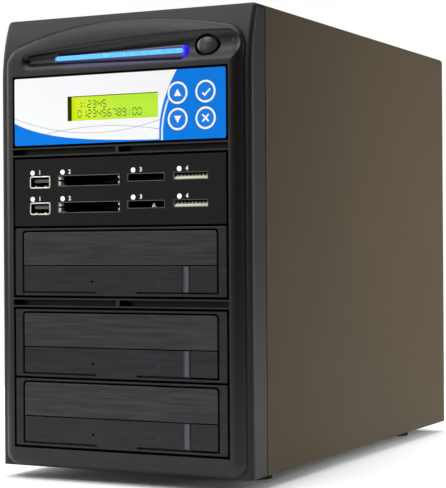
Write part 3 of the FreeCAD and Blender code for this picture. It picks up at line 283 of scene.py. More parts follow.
def frontPlastic():
    look = Finish("frontPlastic")
    x, y, z = look.axes()
    tone = look.noise(35.0, detail=3.0)
    texture = look.noise(frontSkin["grain"])
    # painted light: the lip under the bar glows violet in place of the bar's light falling on it
    lip = z.band(paintedBarLight["low"], paintedBarLight["high"], paintedBarLight["soft"])
    lip = lip * x.band(paintedBarLight["left"], paintedBarLight["right"], paintedBarLight["endSoft"])
    lip = lip * (-y).rise(*paintedBarLight["face"])
    surround = (y - frontY).rise(*frontSkin["surround"])
    return look.dress(colour=look.mix(tone, frontSkin["dark"], frontSkin["light"]),
                      rough=frontSkin["rough"] + frontSkin["rougher"] * surround + 0.10 * (texture - 0.5),
                      normal=look.bump(texture, frontSkin["depth"]), specular=frontSkin["specular"],
                      glow=look.mix(lip, black, paintedBarLight["tone"]), glowPower=1.0)


# Drive fronts: brushed plastic with a pale fluted strip beside the eject button
driveFront = {"dark": rgb(17, 16, 20), "light": rgb(31, 29, 35), "pale": rgb(92, 91, 98), "flute": 46.7,
              "fluteCore": 0.6, "fluteHalf": 2.5, "low": 2.6, "high": 18.2, "endSoft": 0.2,
              "lamp": (27.5, 8.3, 1.5), "lampSoft": 0.5, "lampShare": 0.35, "lampTone": rgb(46, 45, 52)}


def driveFrame(number):
    look = Finish("driveFrame%d" % number)
    x, y, z = look.axes()
    rise = z - driveFloor[number]
    streak = brushStreak(look)
    colour = brushTone(look, streak, driveFront["dark"], driveFront["light"])
    wisp = look.noise(0.5, stretch=(1.0, 1.0, 40.0)).rise(0.3, 0.7)
    strip = 1.0 - abs(x - driveFront["flute"]).rise(driveFront["fluteCore"], driveFront["fluteHalf"])
    strip = strip * rise.band(driveFront["low"], driveFront["high"], driveFront["endSoft"])
    colour = look.mix(strip * (0.45 + 0.5 * wisp), colour, driveFront["pale"])
    lampX, lampRise, lampRadius = driveFront["lamp"]
    soft = driveFront["lampSoft"]
    spot = ((x - lampX) ** 2.0 + (rise - lampRise) ** 2.0) ** 0.5
    lamp = 1.0 - spot.rise(lampRadius - soft, lampRadius + soft)
    colour = look.mix(driveFront["lampShare"] * lamp, colour, driveFront["lampTone"])
    return look.dress(colour=colour, rough=0.42 + brush["swing"] * (streak - 0.5),
                      normal=look.bump(streak, brush["depth"]), specular=0.25)


def lampClear():
    look = Finish("lampClear")
    haze = look.noise(0.8)
    return look.dress(colour=look.mix(haze, rgb(236, 238, 240), rgb(255, 255, 255)), rough=0.25,
                      glow=look.mix(haze, rgb(215, 218, 222), rgb(255, 255, 255)), glowPower=0.5)


# Print on the control panel: white, a blue field on the right, a blue wave low on the left
print("panel print")
panelPrint = {"white": rgb(250, 251, 253), "blue": rgb(0, 124, 230), "pale": rgb(225, 244, 255),
              "rule": rgb(120, 146, 160), "edge": 0.12,
              "border": 29.4, "borderFrom": 212.0, "borderBend": 0.0082,        # the blue field's left edge
              "stripe": 1.9, "stripeBend": 0.0016, "stripeHalf": 0.62, "stripeFade": (231.0, 237.0),
              "waveLevel": 209.0, "waveTall": 14.0, "waveFrom": -74.4, "waveLong": 30.0,
              "sag": (215.0, 0.0031, -15.0), "swell": (219.0, -0.0022, -10.0),  # level, bend and middle of a rule
              "ruleHalf": 0.17, "ruleShare": 0.8, "swellFrom": (-53.0, -50.0)}
panelSkin = {"grain": 0.6, "rough": 0.48, "swing": 0.08, "depth": 0.004, "specular": 0.06}


def printedFilm():
    look = Finish("printedFilm")
    x, y, z = look.axes()
    soft = panelPrint["edge"]
    lift = (z - panelPrint["borderFrom"]).either(0.0)
    border = panelPrint["border"] + panelPrint["borderBend"] * lift * lift
    field = (x - border).rise(-soft, soft)
    half = panelPrint["stripeHalf"]
    stripe = (x - border - panelPrint["stripe"] - panelPrint["stripeBend"] * lift * lift).band(-half, half, soft)
    stripe = stripe * (1.0 - z.rise(*panelPrint["stripeFade"]))
    fall = ((x - panelPrint["waveFrom"]) * (-1.0 / panelPrint["waveLong"])).exp()
    wave = (panelPrint["waveLevel"] + panelPrint["waveTall"] * fall - z).rise(-soft, soft)

    def rule(level, bend, middle):
        half = panelPrint["ruleHalf"]
        return (z - level - bend * (x - middle) ** 2.0).band(-half, half, soft)
    rules = rule(*panelPrint["sag"]).either(rule(*panelPrint["swell"]) * x.rise(*panelPrint["swellFrom"]))
    colour = look.mix(rules * panelPrint["ruleShare"], panelPrint["white"], panelPrint["rule"])
    colour = look.mix(wave, colour, panelPrint["blue"])
    colour = look.mix(field, colour, panelPrint["blue"])
    colour = look.mix(field * stripe, colour, panelPrint["pale"])
    grain = look.noise(panelSkin["grain"], detail=1.0)
    return look.dress(colour=colour, rough=panelSkin["rough"] + panelSkin["swing"] * grain,
                      normal=look.bump(grain, panelSkin["depth"]), specular=panelSkin["specular"])


# Keys: a white ring and a white sign on each, both a little raised
keyPrint = {"ring": (5.45, 6.75), "rim": (5.2, 8.0), "rimSoft": 0.5, "signRise": 0.3, "signSoft": 0.3,
            "depth": 0.12, "specular": 0.15, "apex": 2.4, "slope": 1.75, "foot": 2.0, "turn": 0.7071,
            "lineHalf": 0.55, "crossArm": 3.0, "tickLong": (-2.4, 3.2), "tickShort": (-1.7, 0.9),
            "tickKnee": (1.9, 1.2)}


def keyFilm(name, centre, mark):
    look = Finish(name)
    x, y, z = look.axes()
    x = x - centre[0]
    z = z - centre[1]
    soft = panelPrint["edge"]
    radius = (x * x + z * z) ** 0.5
    ink = radius.band(*keyPrint["ring"], soft).either(mark(x, z, soft))
    grain = look.noise(panelSkin["grain"], detail=1.0)
    height = radius.band(*keyPrint["rim"], keyPrint["rimSoft"])
    height = height + keyPrint["signRise"] * mark(x, z, keyPrint["signSoft"])
    return look.dress(colour=look.mix(ink, panelPrint["blue"], panelPrint["white"]),
                      rough=panelSkin["rough"] + panelSkin["swing"] * grain,
                      normal=look.bump(height, keyPrint["depth"]), specular=keyPrint["specular"])


def upMark(x, z, soft):
    sides = (keyPrint["apex"] - z - keyPrint["slope"] * abs(x)).rise(-soft, soft)
    return sides.both((z + keyPrint["foot"]).rise(-soft, soft))


def downMark(x, z, soft):
    return upMark(x, -z, soft)


def diagonals(x, z):                            # the same place in axes turned by an eighth
    return keyPrint["turn"] * (x + z), keyPrint["turn"] * (z - x)


def inkLine(across, soft):
    return across.band(-keyPrint["lineHalf"], keyPrint["lineHalf"], soft)


def tickMark(x, z, soft):                       # a short arm down to the right and a long one up
    along, across = diagonals(x, z)
    kneeAlong, kneeAcross = keyPrint["tickKnee"]
    longArm = inkLine(across + kneeAcross, soft) * along.band(*keyPrint["tickLong"], soft)
    shortArm = inkLine(along + kneeAlong, soft) * across.band(*keyPrint["tickShort"], soft)
    return longArm.either(shortArm)


def crossMark(x, z, soft):
    along, across = diagonals(x, z)
    arm = keyPrint["crossArm"]
    first = inkLine(across, soft) * along.band(-arm, arm, soft)
    second = inkLine(along, soft) * across.band(-arm, arm, soft)
    return first.either(second)


# Display: lit glass, yellower on the left
glassTone = {"span": (-40.0, 10.0), "left": rgb(214, 236, 10), "right": rgb(180, 230, 40), "glow": 0.9, "haze": 6.0,
             "hazeShare": 0.3, "clear": rgb(90, 120, 10), "dim": rgb(70, 110, 20)}


def displayGlass():
    look = Finish("displayGlass")
    x, y, z = look.axes()
    tone = look.mix(x.rise(*glassTone["span"]), glassTone["left"], glassTone["right"])
    haze = glassTone["hazeShare"] * look.noise(glassTone["haze"])
    return look.dress(colour=look.mix(haze, glassTone["clear"], glassTone["dim"]), glow=tone,
                      glowPower=glassTone["glow"], rough=0.25, specular=0.2)


# Lit bar: a bright azure strip in a navy bar, deep blue at the thick end
barLight = {"middle": 262.0, "half": 1.45, "left": -43.2, "right": 43.6, "soft": 0.2, "haloFrom": 0.2,
            "haloTo": 1.8, "tipSpan": (-45.4, -44.0), "endSpan": (43.6, 45.4), "strip": rgb(60, 178, 252),
            "spark": rgb(98, 206, 255), "navy": rgb(8, 10, 70), "shade": rgb(12, 12, 34), "end": rgb(36, 28, 226),
            "tip": rgb(74, 104, 186), "dark": rgb(16, 16, 40), "clear": rgb(20, 60, 120)}


def litBar():
    look = Finish("litBar")
    x, y, z = look.axes()
    grain = look.noise(1.1, stretch=(0.5, 1.0, 3.0)).rise(0.35, 0.65)
    past = (barLight["left"] - x).either(x - barLight["right"]).either(0.0)
    away = (past * past + (z - barLight["middle"]) ** 2.0) ** 0.5
    half, soft = barLight["half"], barLight["soft"]
    strip = 1.0 - away.rise(half - soft, half + soft)
    halo = 1.0 - away.rise(half + barLight["haloFrom"], half + barLight["haloTo"])
    glow = look.mix(halo, barLight["shade"], barLight["navy"])
    glow = look.mix(1.0 - x.rise(*barLight["tipSpan"]), glow, barLight["tip"])
    glow = look.mix(x.rise(*barLight["endSpan"]), glow, barLight["end"])
    glow = look.mix(strip, glow, look.mix(grain, barLight["strip"], barLight["spark"]))
    return look.dress(colour=look.mix(strip, barLight["dark"], barLight["clear"]), rough=0.22, glow=glow,
                      glowPower=1.0)


# Which finish each CAD piece wears
piecesIn = (
    (coverPaint, "wrap_cover"),
    (chassisSteel, "base_pan front_plate drive_cage rear_panel controller_carrier reader_carrier"),
    (screwSteel, "rear_screws drive_screws fan_screws"),
    (boardMask, "led_board keypad_board controller_board reader_boards"),
    (psuSteel, "psu_case"), (shellMetal, "usb_sockets"), (guardChrome, "fan_guard"),
    (plastics["fascia"], "control_fascia lcd_module"), (plastics["reader"], "reader_fascia"),
    (plastics["socket"], "cf_sockets sd_sockets ms_sockets"), (plastics["button"], "power_button"),
    (plastics["fan"], "fan_frame fan_rotor"), (plastics["inlet"], "psu_inlet psu_rocker"),
    (plastics["rubber"], "rubber_feet"), (frontPlastic(), "front_bezel"), (litBar(), "light_bar"),
    (printedFilm(), "control_overlay"), (displayGlass(), "lcd_glass"), (lampClear(), "reader_lamps"),
)
lookOf = {name: look for look, names in piecesIn for name in names.split()}
keyMarks = {"key_up": upMark, "key_down": downMark, "key_enter": tickMark, "key_cancel": crossMark}
for key, mark in keyMarks.items():
    low, high = spanOf(key)
    lookOf[key] = keyFilm(key + "Film", ((low.x + high.x) / 2, (low.z + high.z) / 2), mark)
for number in drives:
    frameLook = driveFrame(number)
    driveLooks = {"bezel": frameLook, "eject": frameLook, "door": doorBrushed, "shell": chassisSteel,
                  "tray": plastics["tray"], "deck": plastics["deck"], "turntable": plastics["deck"]}
    for part, look in driveLooks.items():
        lookOf["drive_%d_%s" % (number, part)] = look
for name, obj in nodes.items():
    obj.data.materials.clear()
    obj.data.materials.append(lookOf[name])
print("finishes on", len(lookOf), "CAD pieces")


# Small shapes that the new pieces are gathered from, all sizes in mm
depthwise = Vector((0.0, 1.0, 0.0))
sameWay = 0.99                                  # cosine from which two directions count as one
sharpFrom = math.radians(35.0)                  # edges of the new pieces that turn more stay sharp


def block(x, y, z):
    part = bmesh.new()
    low = Vector((x[0], y[0], z[0])) * mm
    high = Vector((x[1], y[1], z[1])) * mm
    place = Matrix.Translation((low + high) / 2) @ Matrix.Diagonal((high - low).to_4d())
    bmesh.ops.create_cube(part, size=1.0, matrix=place)
    return part


def softened(part, width, segments=2, along=None):             # rounds all edges, or those along one direction
    def wanted(edge):
        run = (edge.verts[1].co - edge.verts[0].co).normalized()
        return along is None or abs(run.dot(along)) > sameWay
    edges = [edge for edge in part.edges if wanted(edge)]
    bmesh.ops.bevel(part, geom=edges, offset=width * mm, segments=segments, profile=0.5, affect="EDGES",
                    material=-1)
    return part


def endFace(part, way):                         # the front face for -1, the back face for 1
    return max(part.faces, key=lambda face: way * face.calc_center_median().y)


def hollowed(part, wall, depth):                # a room behind the front face, which takes the second finish
    front = endFace(part, -1)
    bmesh.ops.inset_region(part, faces=[front], thickness=wall * mm, use_even_offset=True)
    made = bmesh.ops.extrude_face_region(part, geom=[front])["geom"]
    floor = [item for item in made if isinstance(item, bmesh.types.BMVert)]
    bmesh.ops.translate(part, verts=floor, vec=(0.0, depth * mm, 0.0))
    if front.is_valid:
        bmesh.ops.delete(part, geom=[front], context="FACES_ONLY")
    for vert in floor:
        for face in vert.link_faces:
            face.material_index = 1
    return part


def ringed(part, wall):                         # a hole right through from the front to the back
    front, back = endFace(part, -1), endFace(part, 1)
    bmesh.ops.inset_region(part, faces=[front, back], thickness=wall * mm, use_even_offset=True)
    rims = list(front.edges) + list(back.edges)
    bmesh.ops.delete(part, geom=[front, back], context="FACES_ONLY")
    bmesh.ops.bridge_loops(part, edges=rims)
    return part


def rod(start, end, radius, segments=12, tip=None):
    part = bmesh.new()
    first, last = Vector(start) * mm, Vector(end) * mm
    turn = (last - first).to_track_quat("Z", "Y").to_matrix().to_4x4()
    bmesh.ops.create_cone(part, cap_ends=True, segments=segments, radius1=radius * mm,
                          radius2=(radius if tip is None else tip) * mm, depth=(last - first).length,
                          matrix=Matrix.Translation((first + last) / 2) @ turn)
    return part


def wireRing(centre, radius, wire, steps=72, sides=10):        # a ring about an axis along Y
    part = bmesh.new()
    middle = Vector(centre) * mm
    place = Matrix.Translation(middle + Vector((radius * mm, 0.0, 0.0)))
    bmesh.ops.create_circle(part, cap_ends=False, segments=sides, radius=wire / 2 * mm, matrix=place)
    bmesh.ops.spin(part, geom=part.verts[:] + part.edges[:], cent=middle, axis=(0.0, 1.0, 0.0),
                   angle=2 * math.pi, steps=steps, use_merge=True)
    return part


def numeral(text, size, bold, thick, centre):   # a thin printed number on the front
    curve = bpy.data.curves.new("numeral", "FONT")
    curve.body = text
    curve.size = size * mm
    curve.align_x = curve.align_y = "CENTER"
    curve.extrude = thick * mm
    curve.offset = bold * mm
    holder = bpy.data.objects.new("numeral", curve)
    mesh = bpy.data.meshes.new_from_object(holder)
    part = bmesh.new()
    part.from_mesh(mesh)
    place = Matrix.Translation(Vector(centre) * mm) @ Matrix.Rotation(math.pi / 2, 4, "X")
    bmesh.ops.transform(part, matrix=place, verts=part.verts)
    bpy.data.objects.remove(holder)
    bpy.data.curves.remove(curve)
    bpy.data.meshes.remove(mesh)
    return part


class Piece:                                    # a new piece, gathered from small parts
    def __init__(self, name):
        self.name = name
        self.form = bmesh.new()
        self.looks = []

    def add(self, part, *looks):                # one finish for each material number in the part
        for look in looks:
            if look not in self.looks:
                self.looks.append(look)
        for face in part.faces:
            face.material_index = self.looks.index(looks[face.material_index])
        bmesh.ops.recalc_face_normals(part, faces=part.faces)
        mesh = bpy.data.meshes.new("part")
        part.to_mesh(mesh)
        part.free()
        self.form.from_mesh(mesh)
        bpy.data.meshes.remove(mesh)

    def finish(self, body, slot, *replaced):
        mesh = bpy.data.meshes.new(self.name)
        self.form.to_mesh(mesh)
        self.form.free()
        for look in self.looks:
            mesh.materials.append(look)
        mesh.shade_smooth()
        mesh.set_sharp_from_angle(angle=sharpFrom)
        obj = placed(self.name, mesh)
        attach(obj, body)
        if replaced:
            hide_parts(*replaced)
        print(self.name, len(mesh.polygons), "faces")
        return obj


# Card reader: two metal ports with flared lips, their tongues, contacts and springs
portShell = {"wide": 14.6, "tall": 7.2, "drop": 3.9, "corner": 1.2, "cornerSteps": 5, "wall": 0.5, "deep": 12.4,
             "front": 0.2, "lip": 0.25, "lipWall": 0.8, "lipProud": 0.15, "lipDeep": 0.5, "lipEdge": 0.1,
             "saddleFront": 2.5, "saddleSunk": 0.2, "saddleLift": 1.2,
             "tongueHalf": 5.6, "tongueThick": 1.9, "tongueLift": 1.0, "tongueFront": 2.2, "tongueEdge": 0.25,
             "contacts": 4, "contactPitch": 2.5, "contactHalf": 0.5, "contactFront": 2.6, "contactProud": 0.12,
             "contactSunk": 0.1, "springX": 3.4, "springFront": 0.6, "springBack": 6.0, "springLift": (0.75, 1.3),
             "springRadii": (0.7, 0.4)}


def makePortShells():
    low, high = spanOf("usb_sockets")
    x = (low.x + high.x) / 2
    halfX, halfZ = portShell["wide"] / 2, portShell["tall"] / 2
    y0, y1 = frontY + portShell["front"], high.y
    piece = Piece("portShells")
    for top in rowTops:
        z = top - portShell["drop"]
        tube = block((x - halfX, x + halfX), (y0, y1), (z - halfZ, z + halfZ))
        tube = softened(tube, portShell["corner"], portShell["cornerSteps"], depthwise)
        piece.add(hollowed(tube, portShell["wall"], portShell["deep"]), shellMetal, plastics["socket"])
        flare = portShell["lip"]
        lip = block((x - halfX - flare, x + halfX + flare), (y0 - portShell["lipProud"], y0 + portShell["lipDeep"]),
                    (z - halfZ - flare, z + halfZ + flare))
        lip = softened(lip, portShell["corner"], portShell["cornerSteps"], depthwise)
        piece.add(softened(ringed(lip, portShell["lipWall"]), portShell["lipEdge"]), shellMetal)
        saddle = block((x - halfX, x + halfX), (frontY + portShell["saddleFront"], y1),
                       (z + halfZ - portShell["saddleSunk"], top + portShell["saddleLift"]))
        piece.add(saddle, shellMetal)
        tongueZ = z + portShell["tongueLift"]
        half = portShell["tongueThick"] / 2
        reach = portShell["tongueHalf"]
        tongue = block((x - reach, x + reach), (y0 + portShell["tongueFront"], y0 + portShell["deep"]),
                       (tongueZ - half, tongueZ + half))
        piece.add(softened(tongue, portShell["tongueEdge"]), plastics["liner"])
        for i in range(portShell["contacts"]):
            contactX = x + (i - (portShell["contacts"] - 1) / 2) * portShell["contactPitch"]
            contact = block((contactX - portShell["contactHalf"], contactX + portShell["contactHalf"]),
                            (y0 + portShell["contactFront"], y0 + portShell["deep"]),
                            (tongueZ - half - portShell["contactProud"], tongueZ - half + portShell["contactSunk"]))
            piece.add(contact, contactGold)
        lowEnd, highEnd = [z - halfZ + lift for lift in portShell["springLift"]]
        for side in (-1, 1):
            springX = x + side * portShell["springX"]
            spring = rod((springX, y0 + portShell["springFront"], lowEnd),
                         (springX, y0 + portShell["springBack"], highEnd),
                         portShell["springRadii"][0], tip=portShell["springRadii"][1])
            piece.add(spring, shellMetal)
    piece.finish("cabinet", "socket_metal", "usb_sockets")


# Card slots: pale rims, ivory guides and toothed ivory contact bars
cardSlots = {"cf_sockets": (6.8, 0.28), "sd_sockets": (4.8, 0.26), "ms_sockets": (4.5, 0.2)}   # heights and rims
cardLiner = {"housing": 1.2, "fit": 0.02, "front": 0.03, "deep": 2.3, "edge": 0.05}


def slotSpan(node):
    low, high = spanOf(node)
    return low.x + cardLiner["housing"], high.x - cardLiner["housing"]


def makeCardLiners():
    piece = Piece("cardLiners")
    fit = cardLiner["fit"]
    for node, (tall, wall) in cardSlots.items():
        x0, x1 = slotSpan(node)
        for top in rowTops:
            rim = block((x0 + fit, x1 - fit), (frontY + cardLiner["front"], frontY + cardLiner["deep"]),
                        (top - tall + fit, top - fit))
            piece.add(softened(ringed(rim, wall), cardLiner["edge"]), plastics["liner"])
    piece.finish("cabinet", "socket_plastic")


# Guides and a latch in the slots: drops are from an opening's upper edge, rises from its lower edge
cardGuide = {"front": 0.5, "deep": 5.0, "inset": 0.4, "edge": 0.2, "wide": 1.3, "wideDrops": (2.6, 0.9),
             "wideLow": (0.6, 3.7), "stub": 0.9, "stubDrops": (2.4, 1.2), "stubLow": (1.1, 4.4),
             "shelf": 4.6, "shelfRises": (0.45, 0.95), "shelfEdge": 0.12}
cardLatch = {"share": 0.68, "deep": 2.0, "drops": (4.2, 1.5), "radii": (1.6, 0.2), "sides": 4}


def makeCardGuides():
    piece = Piece("cardGuides")
    x0, x1 = slotSpan("cf_sockets")
    x0, x1 = x0 + cardGuide["inset"], x1 - cardGuide["inset"]
    y = (frontY + cardGuide["front"], frontY + cardGuide["deep"])
    columns = (((x0, x0 + cardGuide["wide"]), "wide"), ((x1 - cardGuide["stub"], x1), "stub"))
    for top in rowTops:
        floor = top - cardSlots["cf_sockets"][0]
        for x, kind in columns:
            upper = [top - drop for drop in cardGuide[kind + "Drops"]]
            rise, drop = cardGuide[kind + "Low"]
            for z in (upper, (floor + rise, top - drop)):
                piece.add(softened(block(x, y, z), cardGuide["edge"]), plastics["ivory"])
        shelf = block((x0, x0 + cardGuide["shelf"]), y, [floor + rise for rise in cardGuide["shelfRises"]])
        piece.add(softened(shelf, cardGuide["shelfEdge"]), plastics["liner"])
    x0, x1 = slotSpan("sd_sockets")
    x, y = x0 + cardLatch["share"] * (x1 - x0), frontY + cardLatch["deep"]
    low, high = [rowTops[0] - drop for drop in cardLatch["drops"]]
    foot, tip = cardLatch["radii"]
    piece.add(rod((x, y, low), (x, y, high), foot, cardLatch["sides"], tip), plastics["ivory"])
    piece.finish("cabinet", "socket_plastic")


contactComb = {"bar": 1.5, "lift": 0.25, "front": 0.7, "deep": 5.0, "margin": 0.5, "edge": 0.15, "teeth": 9,
               "tooth": 1.6, "toothSunk": 0.1, "toothBack": 0.75, "toothFoot": 0.62, "toothTip": 0.12, "sides": 4}


def makeContactCombs():
    piece = Piece("contactCombs")
    x0, x1 = slotSpan("ms_sockets")
    x0, x1 = x0 + contactComb["margin"], x1 - contactComb["margin"]
    pitch = (x1 - x0) / contactComb["teeth"]
    for top in rowTops:
        low = top - cardSlots["ms_sockets"][0] + contactComb["lift"]
        high = low + contactComb["bar"]
        bar = block((x0, x1), (frontY + contactComb["front"], frontY + contactComb["deep"]), (low, high))
        piece.add(softened(bar, contactComb["edge"]), plastics["ivory"])
        y = frontY + contactComb["front"] + contactComb["toothBack"] * pitch
        for i in range(contactComb["teeth"]):
            x = x0 + (i + 0.5) * pitch
            tooth = rod((x, y, high - contactComb["toothSunk"]), (x, y, high + contactComb["tooth"]),
                        contactComb["toothFoot"] * pitch, contactComb["sides"], contactComb["toothTip"])
            piece.add(tooth, plastics["ivory"])
    piece.finish("cabinet", "socket_plastic")


# Plain numbers beside the reader's lamps
lampMark = {"x": (-55.6, -33.8, 16.6, 48.0), "rise": 2.1, "size": 3.6, "bold": 0.12, "thick": 0.02, "proud": 0.01}


def makeLampMarks():
    piece = Piece("lampMarks")
    for top in rowTops:
        for i, x in enumerate(lampMark["x"]):
            place = (x, frontY - lampMark["proud"], top + lampMark["rise"])
            digit = numeral(str(i + 1), lampMark["size"], lampMark["bold"], lampMark["thick"], place)
            piece.add(digit, plastics["print"])
    piece.finish("cabinet", "reader_plastic")


# Display dots: two rows of plain numbers, each stroke a span of columns and rows
display = {"rows": (("1:2345", 233.1), ("0123456789:00", 227.4)), "left": -30.6, "pitch": 3.55, "dotX": 0.6,
           "dotZ": 0.7, "fill": 0.9, "proud": 0.04, "middleRow": 3, "ink": (rgb(30, 56, 8), rgb(42, 70, 12))}
strokes = {"a": (1, 3, 6, 6), "b": (4, 4, 4, 5), "c": (4, 4, 1, 2), "d": (1, 3, 0, 0), "e": (0, 0, 1, 2),
           "f": (0, 0, 4, 5), "g": (1, 3, 3, 3), "p": (2, 2, 1, 1), "q": (2, 2, 4, 4)}
strokesOf = {"0": "abcdef", "1": "bc", "2": "abged", "3": "abgcd", "4": "fgbc", "5": "afgcd", "6": "afgedc",
             "7": "abc", "8": "abcdefg", "9": "abcfgd", ":": "pq"}


def makeDisplayDots():
    piece = Piece("displayDots")
    look = Finish("displayInk")
    ink = look.dress(colour=look.mix(look.noise(0.8, detail=1.0), *display["ink"]), rough=0.4)
    y = spanOf("lcd_glass")[0].y
    halfX, halfZ = display["fill"] * display["dotX"] / 2, display["fill"] * display["dotZ"] / 2
    for text, middle in display["rows"]:
        for place, mark in enumerate(text):
            for stroke in strokesOf[mark]:
                col0, col1, row0, row1 = strokes[stroke]
                for col in range(col0, col1 + 1):
                    for row in range(row0, row1 + 1):
                        x = display["left"] + place * display["pitch"] + col * display["dotX"]
                        z = middle + (row - display["middleRow"]) * display["dotZ"]
                        dot = block((x - halfX, x + halfX), (y - display["proud"], y), (z - halfZ, z + halfZ))
                        piece.add(dot, ink)
    piece.finish("cabinet", "lcd_green")


# Fan guard: round wire rings and arms with an eyelet at each screw
fanGuard = {"wire": 1.5, "rings": (13.0, 21.5, 30.0, 38.5), "pitch": 71.5, "eyelet": 3.0, "eyeletSteps": 32,
            "armDepth": 0.75, "ringDepth": 1.6}


def makeFanGuard():
    low, high = spanOf("fan_guard")
    z = (low.z + high.z) / 2
    wire = fanGuard["wire"]
    armY, ringY = low.y + fanGuard["armDepth"], low.y + fanGuard["ringDepth"]
    piece = Piece("wireGuard")
    for radius in fanGuard["rings"]:
        piece.add(wireRing((0.0, ringY, z), radius, wire), guardChrome)
    half = fanGuard["pitch"] / 2
    inner = fanGuard["rings"][0] * math.sqrt(0.5)
    outer = half - fanGuard["eyelet"] * math.sqrt(0.5)
    for sx in (-1, 1):
        for sz in (-1, 1):
            arm = rod((sx * inner, armY, z + sz * inner), (sx * outer, armY, z + sz * outer), wire / 2)
            piece.add(arm, guardChrome)
            centre = (sx * half, armY, z + sz * half)
            piece.add(wireRing(centre, fanGuard["eyelet"], wire, fanGuard["eyeletSteps"]), guardChrome)
    piece.finish("cabinet", "guard_chrome", "fan_guard")


# Dark crosses on the heads of the rear screws: near-black bars, a little proud, painted shade in place of their
# cross slots
crossShade = {"long": 4.0, "wide": 0.8, "proud": 0.03, "sunk": 0.2, "edge": 0.1, "coverX": 82.5, "inset": 24.0,
             "psuX": 69.0, "psuInset": 6.0, "psuStep": 1.0, "fanX": 35.75}


def makeCrossShades():
    piece = Piece("crossShades")
    coverLow, coverHigh = spanOf("wrap_cover")
    psuLow, psuHigh = spanOf("psu_case")
    fanLow, fanHigh = spanOf("fan_guard")
    fanZ = (fanLow.z + fanHigh.z) / 2
    screwY = spanOf("rear_screws")[1].y
    fanY = spanOf("fan_screws")[1].y
    coverZ = (coverLow.z + crossShade["inset"], (coverLow.z + coverHigh.z) / 2, coverHigh.z - crossShade["inset"])
    psuZ = (psuLow.z + crossShade["psuInset"], psuHigh.z - crossShade["psuInset"])
    fanX = crossShade["fanX"]
    places = []
    for side in (-1, 1):
        places += [(side * crossShade["coverX"], screwY, z) for z in coverZ]
        places += [(side * crossShade["psuX"], screwY - crossShade["psuStep"], z) for z in psuZ]
        places += [(side * fanX, fanY, z) for z in (fanZ - fanX, fanZ + fanX)]
    long, wide = crossShade["long"] / 2, crossShade["wide"] / 2
    for x, y, z in places:
        depth = (y - crossShade["sunk"], y + crossShade["proud"])
        for halfX, halfZ in ((long, wide), (wide, long)):
            # each bar is near-black plastic: painted shade where a slot would be
            shadeBar = block((x - halfX, x + halfX), depth, (z - halfZ, z + halfZ))
            piece.add(softened(shadeBar, crossShade["edge"]), plastics["socket"])
    piece.finish("cabinet", "screw_steel")


# Mains rocker: a bar and a ring as its two marks
rockerMark = {"axisY": 169.85, "axisZ": 253.9, "x": -46.5, "face": 3.4, "slope": 1.3 / 9.0, "rise": 4.7,
              "tilt": 8.0, "line": 0.45, "bar": 1.7, "thickHalf": 0.05, "edge": 0.03, "ring": 1.5, "sunk": 0.12,
              "steps": 32}


def makeRockerMarks():
    piece = Piece("rockerMarks")
    lean = math.atan(rockerMark["slope"])
    half, thick = rockerMark["line"] / 2, rockerMark["thickHalf"]
    pivot = Matrix.Translation(Vector((rockerMark["x"], rockerMark["axisY"], rockerMark["axisZ"])) * mm)
    tilt = Matrix.Rotation(math.radians(rockerMark["tilt"]), 4, "X")
    bar = block((-half, half), (-thick, thick), (-rockerMark["bar"], rockerMark["bar"]))
    bar = softened(bar, rockerMark["edge"])
    centre = (0.0, -rockerMark["sunk"], 0.0)
    ring = wireRing(centre, rockerMark["ring"], rockerMark["line"], rockerMark["steps"])
    out = rockerMark["face"] + rockerMark["slope"] * rockerMark["rise"]
    for part, side in ((bar, 1), (ring, -1)):
        seat = Matrix.Translation(Vector((0.0, out, side * rockerMark["rise"])) * mm)
        place = pivot @ tilt @ seat @ Matrix.Rotation(-side * lean, 4, "X")
        bmesh.ops.transform(part, matrix=place, verts=part.verts)
        piece.add(part, plastics["print"])
    piece.finish("mains_rocker", "inlet_plastic")


# Moulded front: the mask with its brow crowned back towards the arch, which sweeps lower on the left
frontMask = {"low": 264.0, "tall": 20.4, "deep": 5.5, "arch": 368.0, "reach": 84.6,     # crown and arch
             "bend": 95.0, "bendFrom": 250.6, "soft": 0.8, "softLeast": 0.001,          # surround and blend
             "sweep": 6.5, "sweepFrom": 5.0, "sweepPower": 2.2, "still": 262.0,         # drop of the arch
             "stillEnd": 238.0, "endFrom": -75.5, "endLong": 8.0,                       # its left end
             "past": 0.3, "near": 0.1, "weld": 0.01, "sliver": 0.002, "probe": 0.02,    # tolerances
             "stepX": 8.0, "stepZ": 1.2, "stepsBelow": 8}


def surroundAt(z):                              # the face that the mask stands on, curving back above the bays
    bend = frontMask["bend"]
    return frontY + frontMask["deep"] + bend - math.sqrt(bend ** 2 - max(0.0, z - frontMask["bendFrom"]) ** 2)


def onMask(place):                              # where a point of the plain mask comes to lie
    x, y, z = place / mm
    low, tall, deep = frontMask["low"], frontMask["tall"], frontMask["deep"]
    edge = low + tall - x * x / (2 * frontMask["arch"])
    near = frontMask["near"]
    if abs(x) > frontMask["reach"] or z > edge + frontMask["past"] or y > surroundAt(z) + near:
        return place.copy()
    rise = min(1.0, max(0.0, 1.0 - (edge - z) / tall))
    back = deep * (1.0 - math.sqrt(1.0 - rise * rise))
    soft = min(frontMask["soft"], back)
    close = max(0.0, 1.0 - abs(y - frontY - back) / soft) if soft > frontMask["softLeast"] else 0.0
    y = max(y, frontY + back) + close * close * soft / 4
    side = max(0.0, frontMask["sweepFrom"] - x) / (frontMask["reach"] + frontMask["sweepFrom"])
    turn = min(1.0, max(0.0, (frontMask["endFrom"] - x) / frontMask["endLong"]))
    still = frontMask["still"] + (frontMask["stillEnd"] - frontMask["still"]) * turn
    drop = frontMask["sweep"] * side ** frontMask["sweepPower"] * max(0.0, (z - still) / (edge - still))
    if y > frontY + deep - near:
        y += surroundAt(z - drop) - surroundAt(z)
    return Vector((x, y, z - drop)) * mm


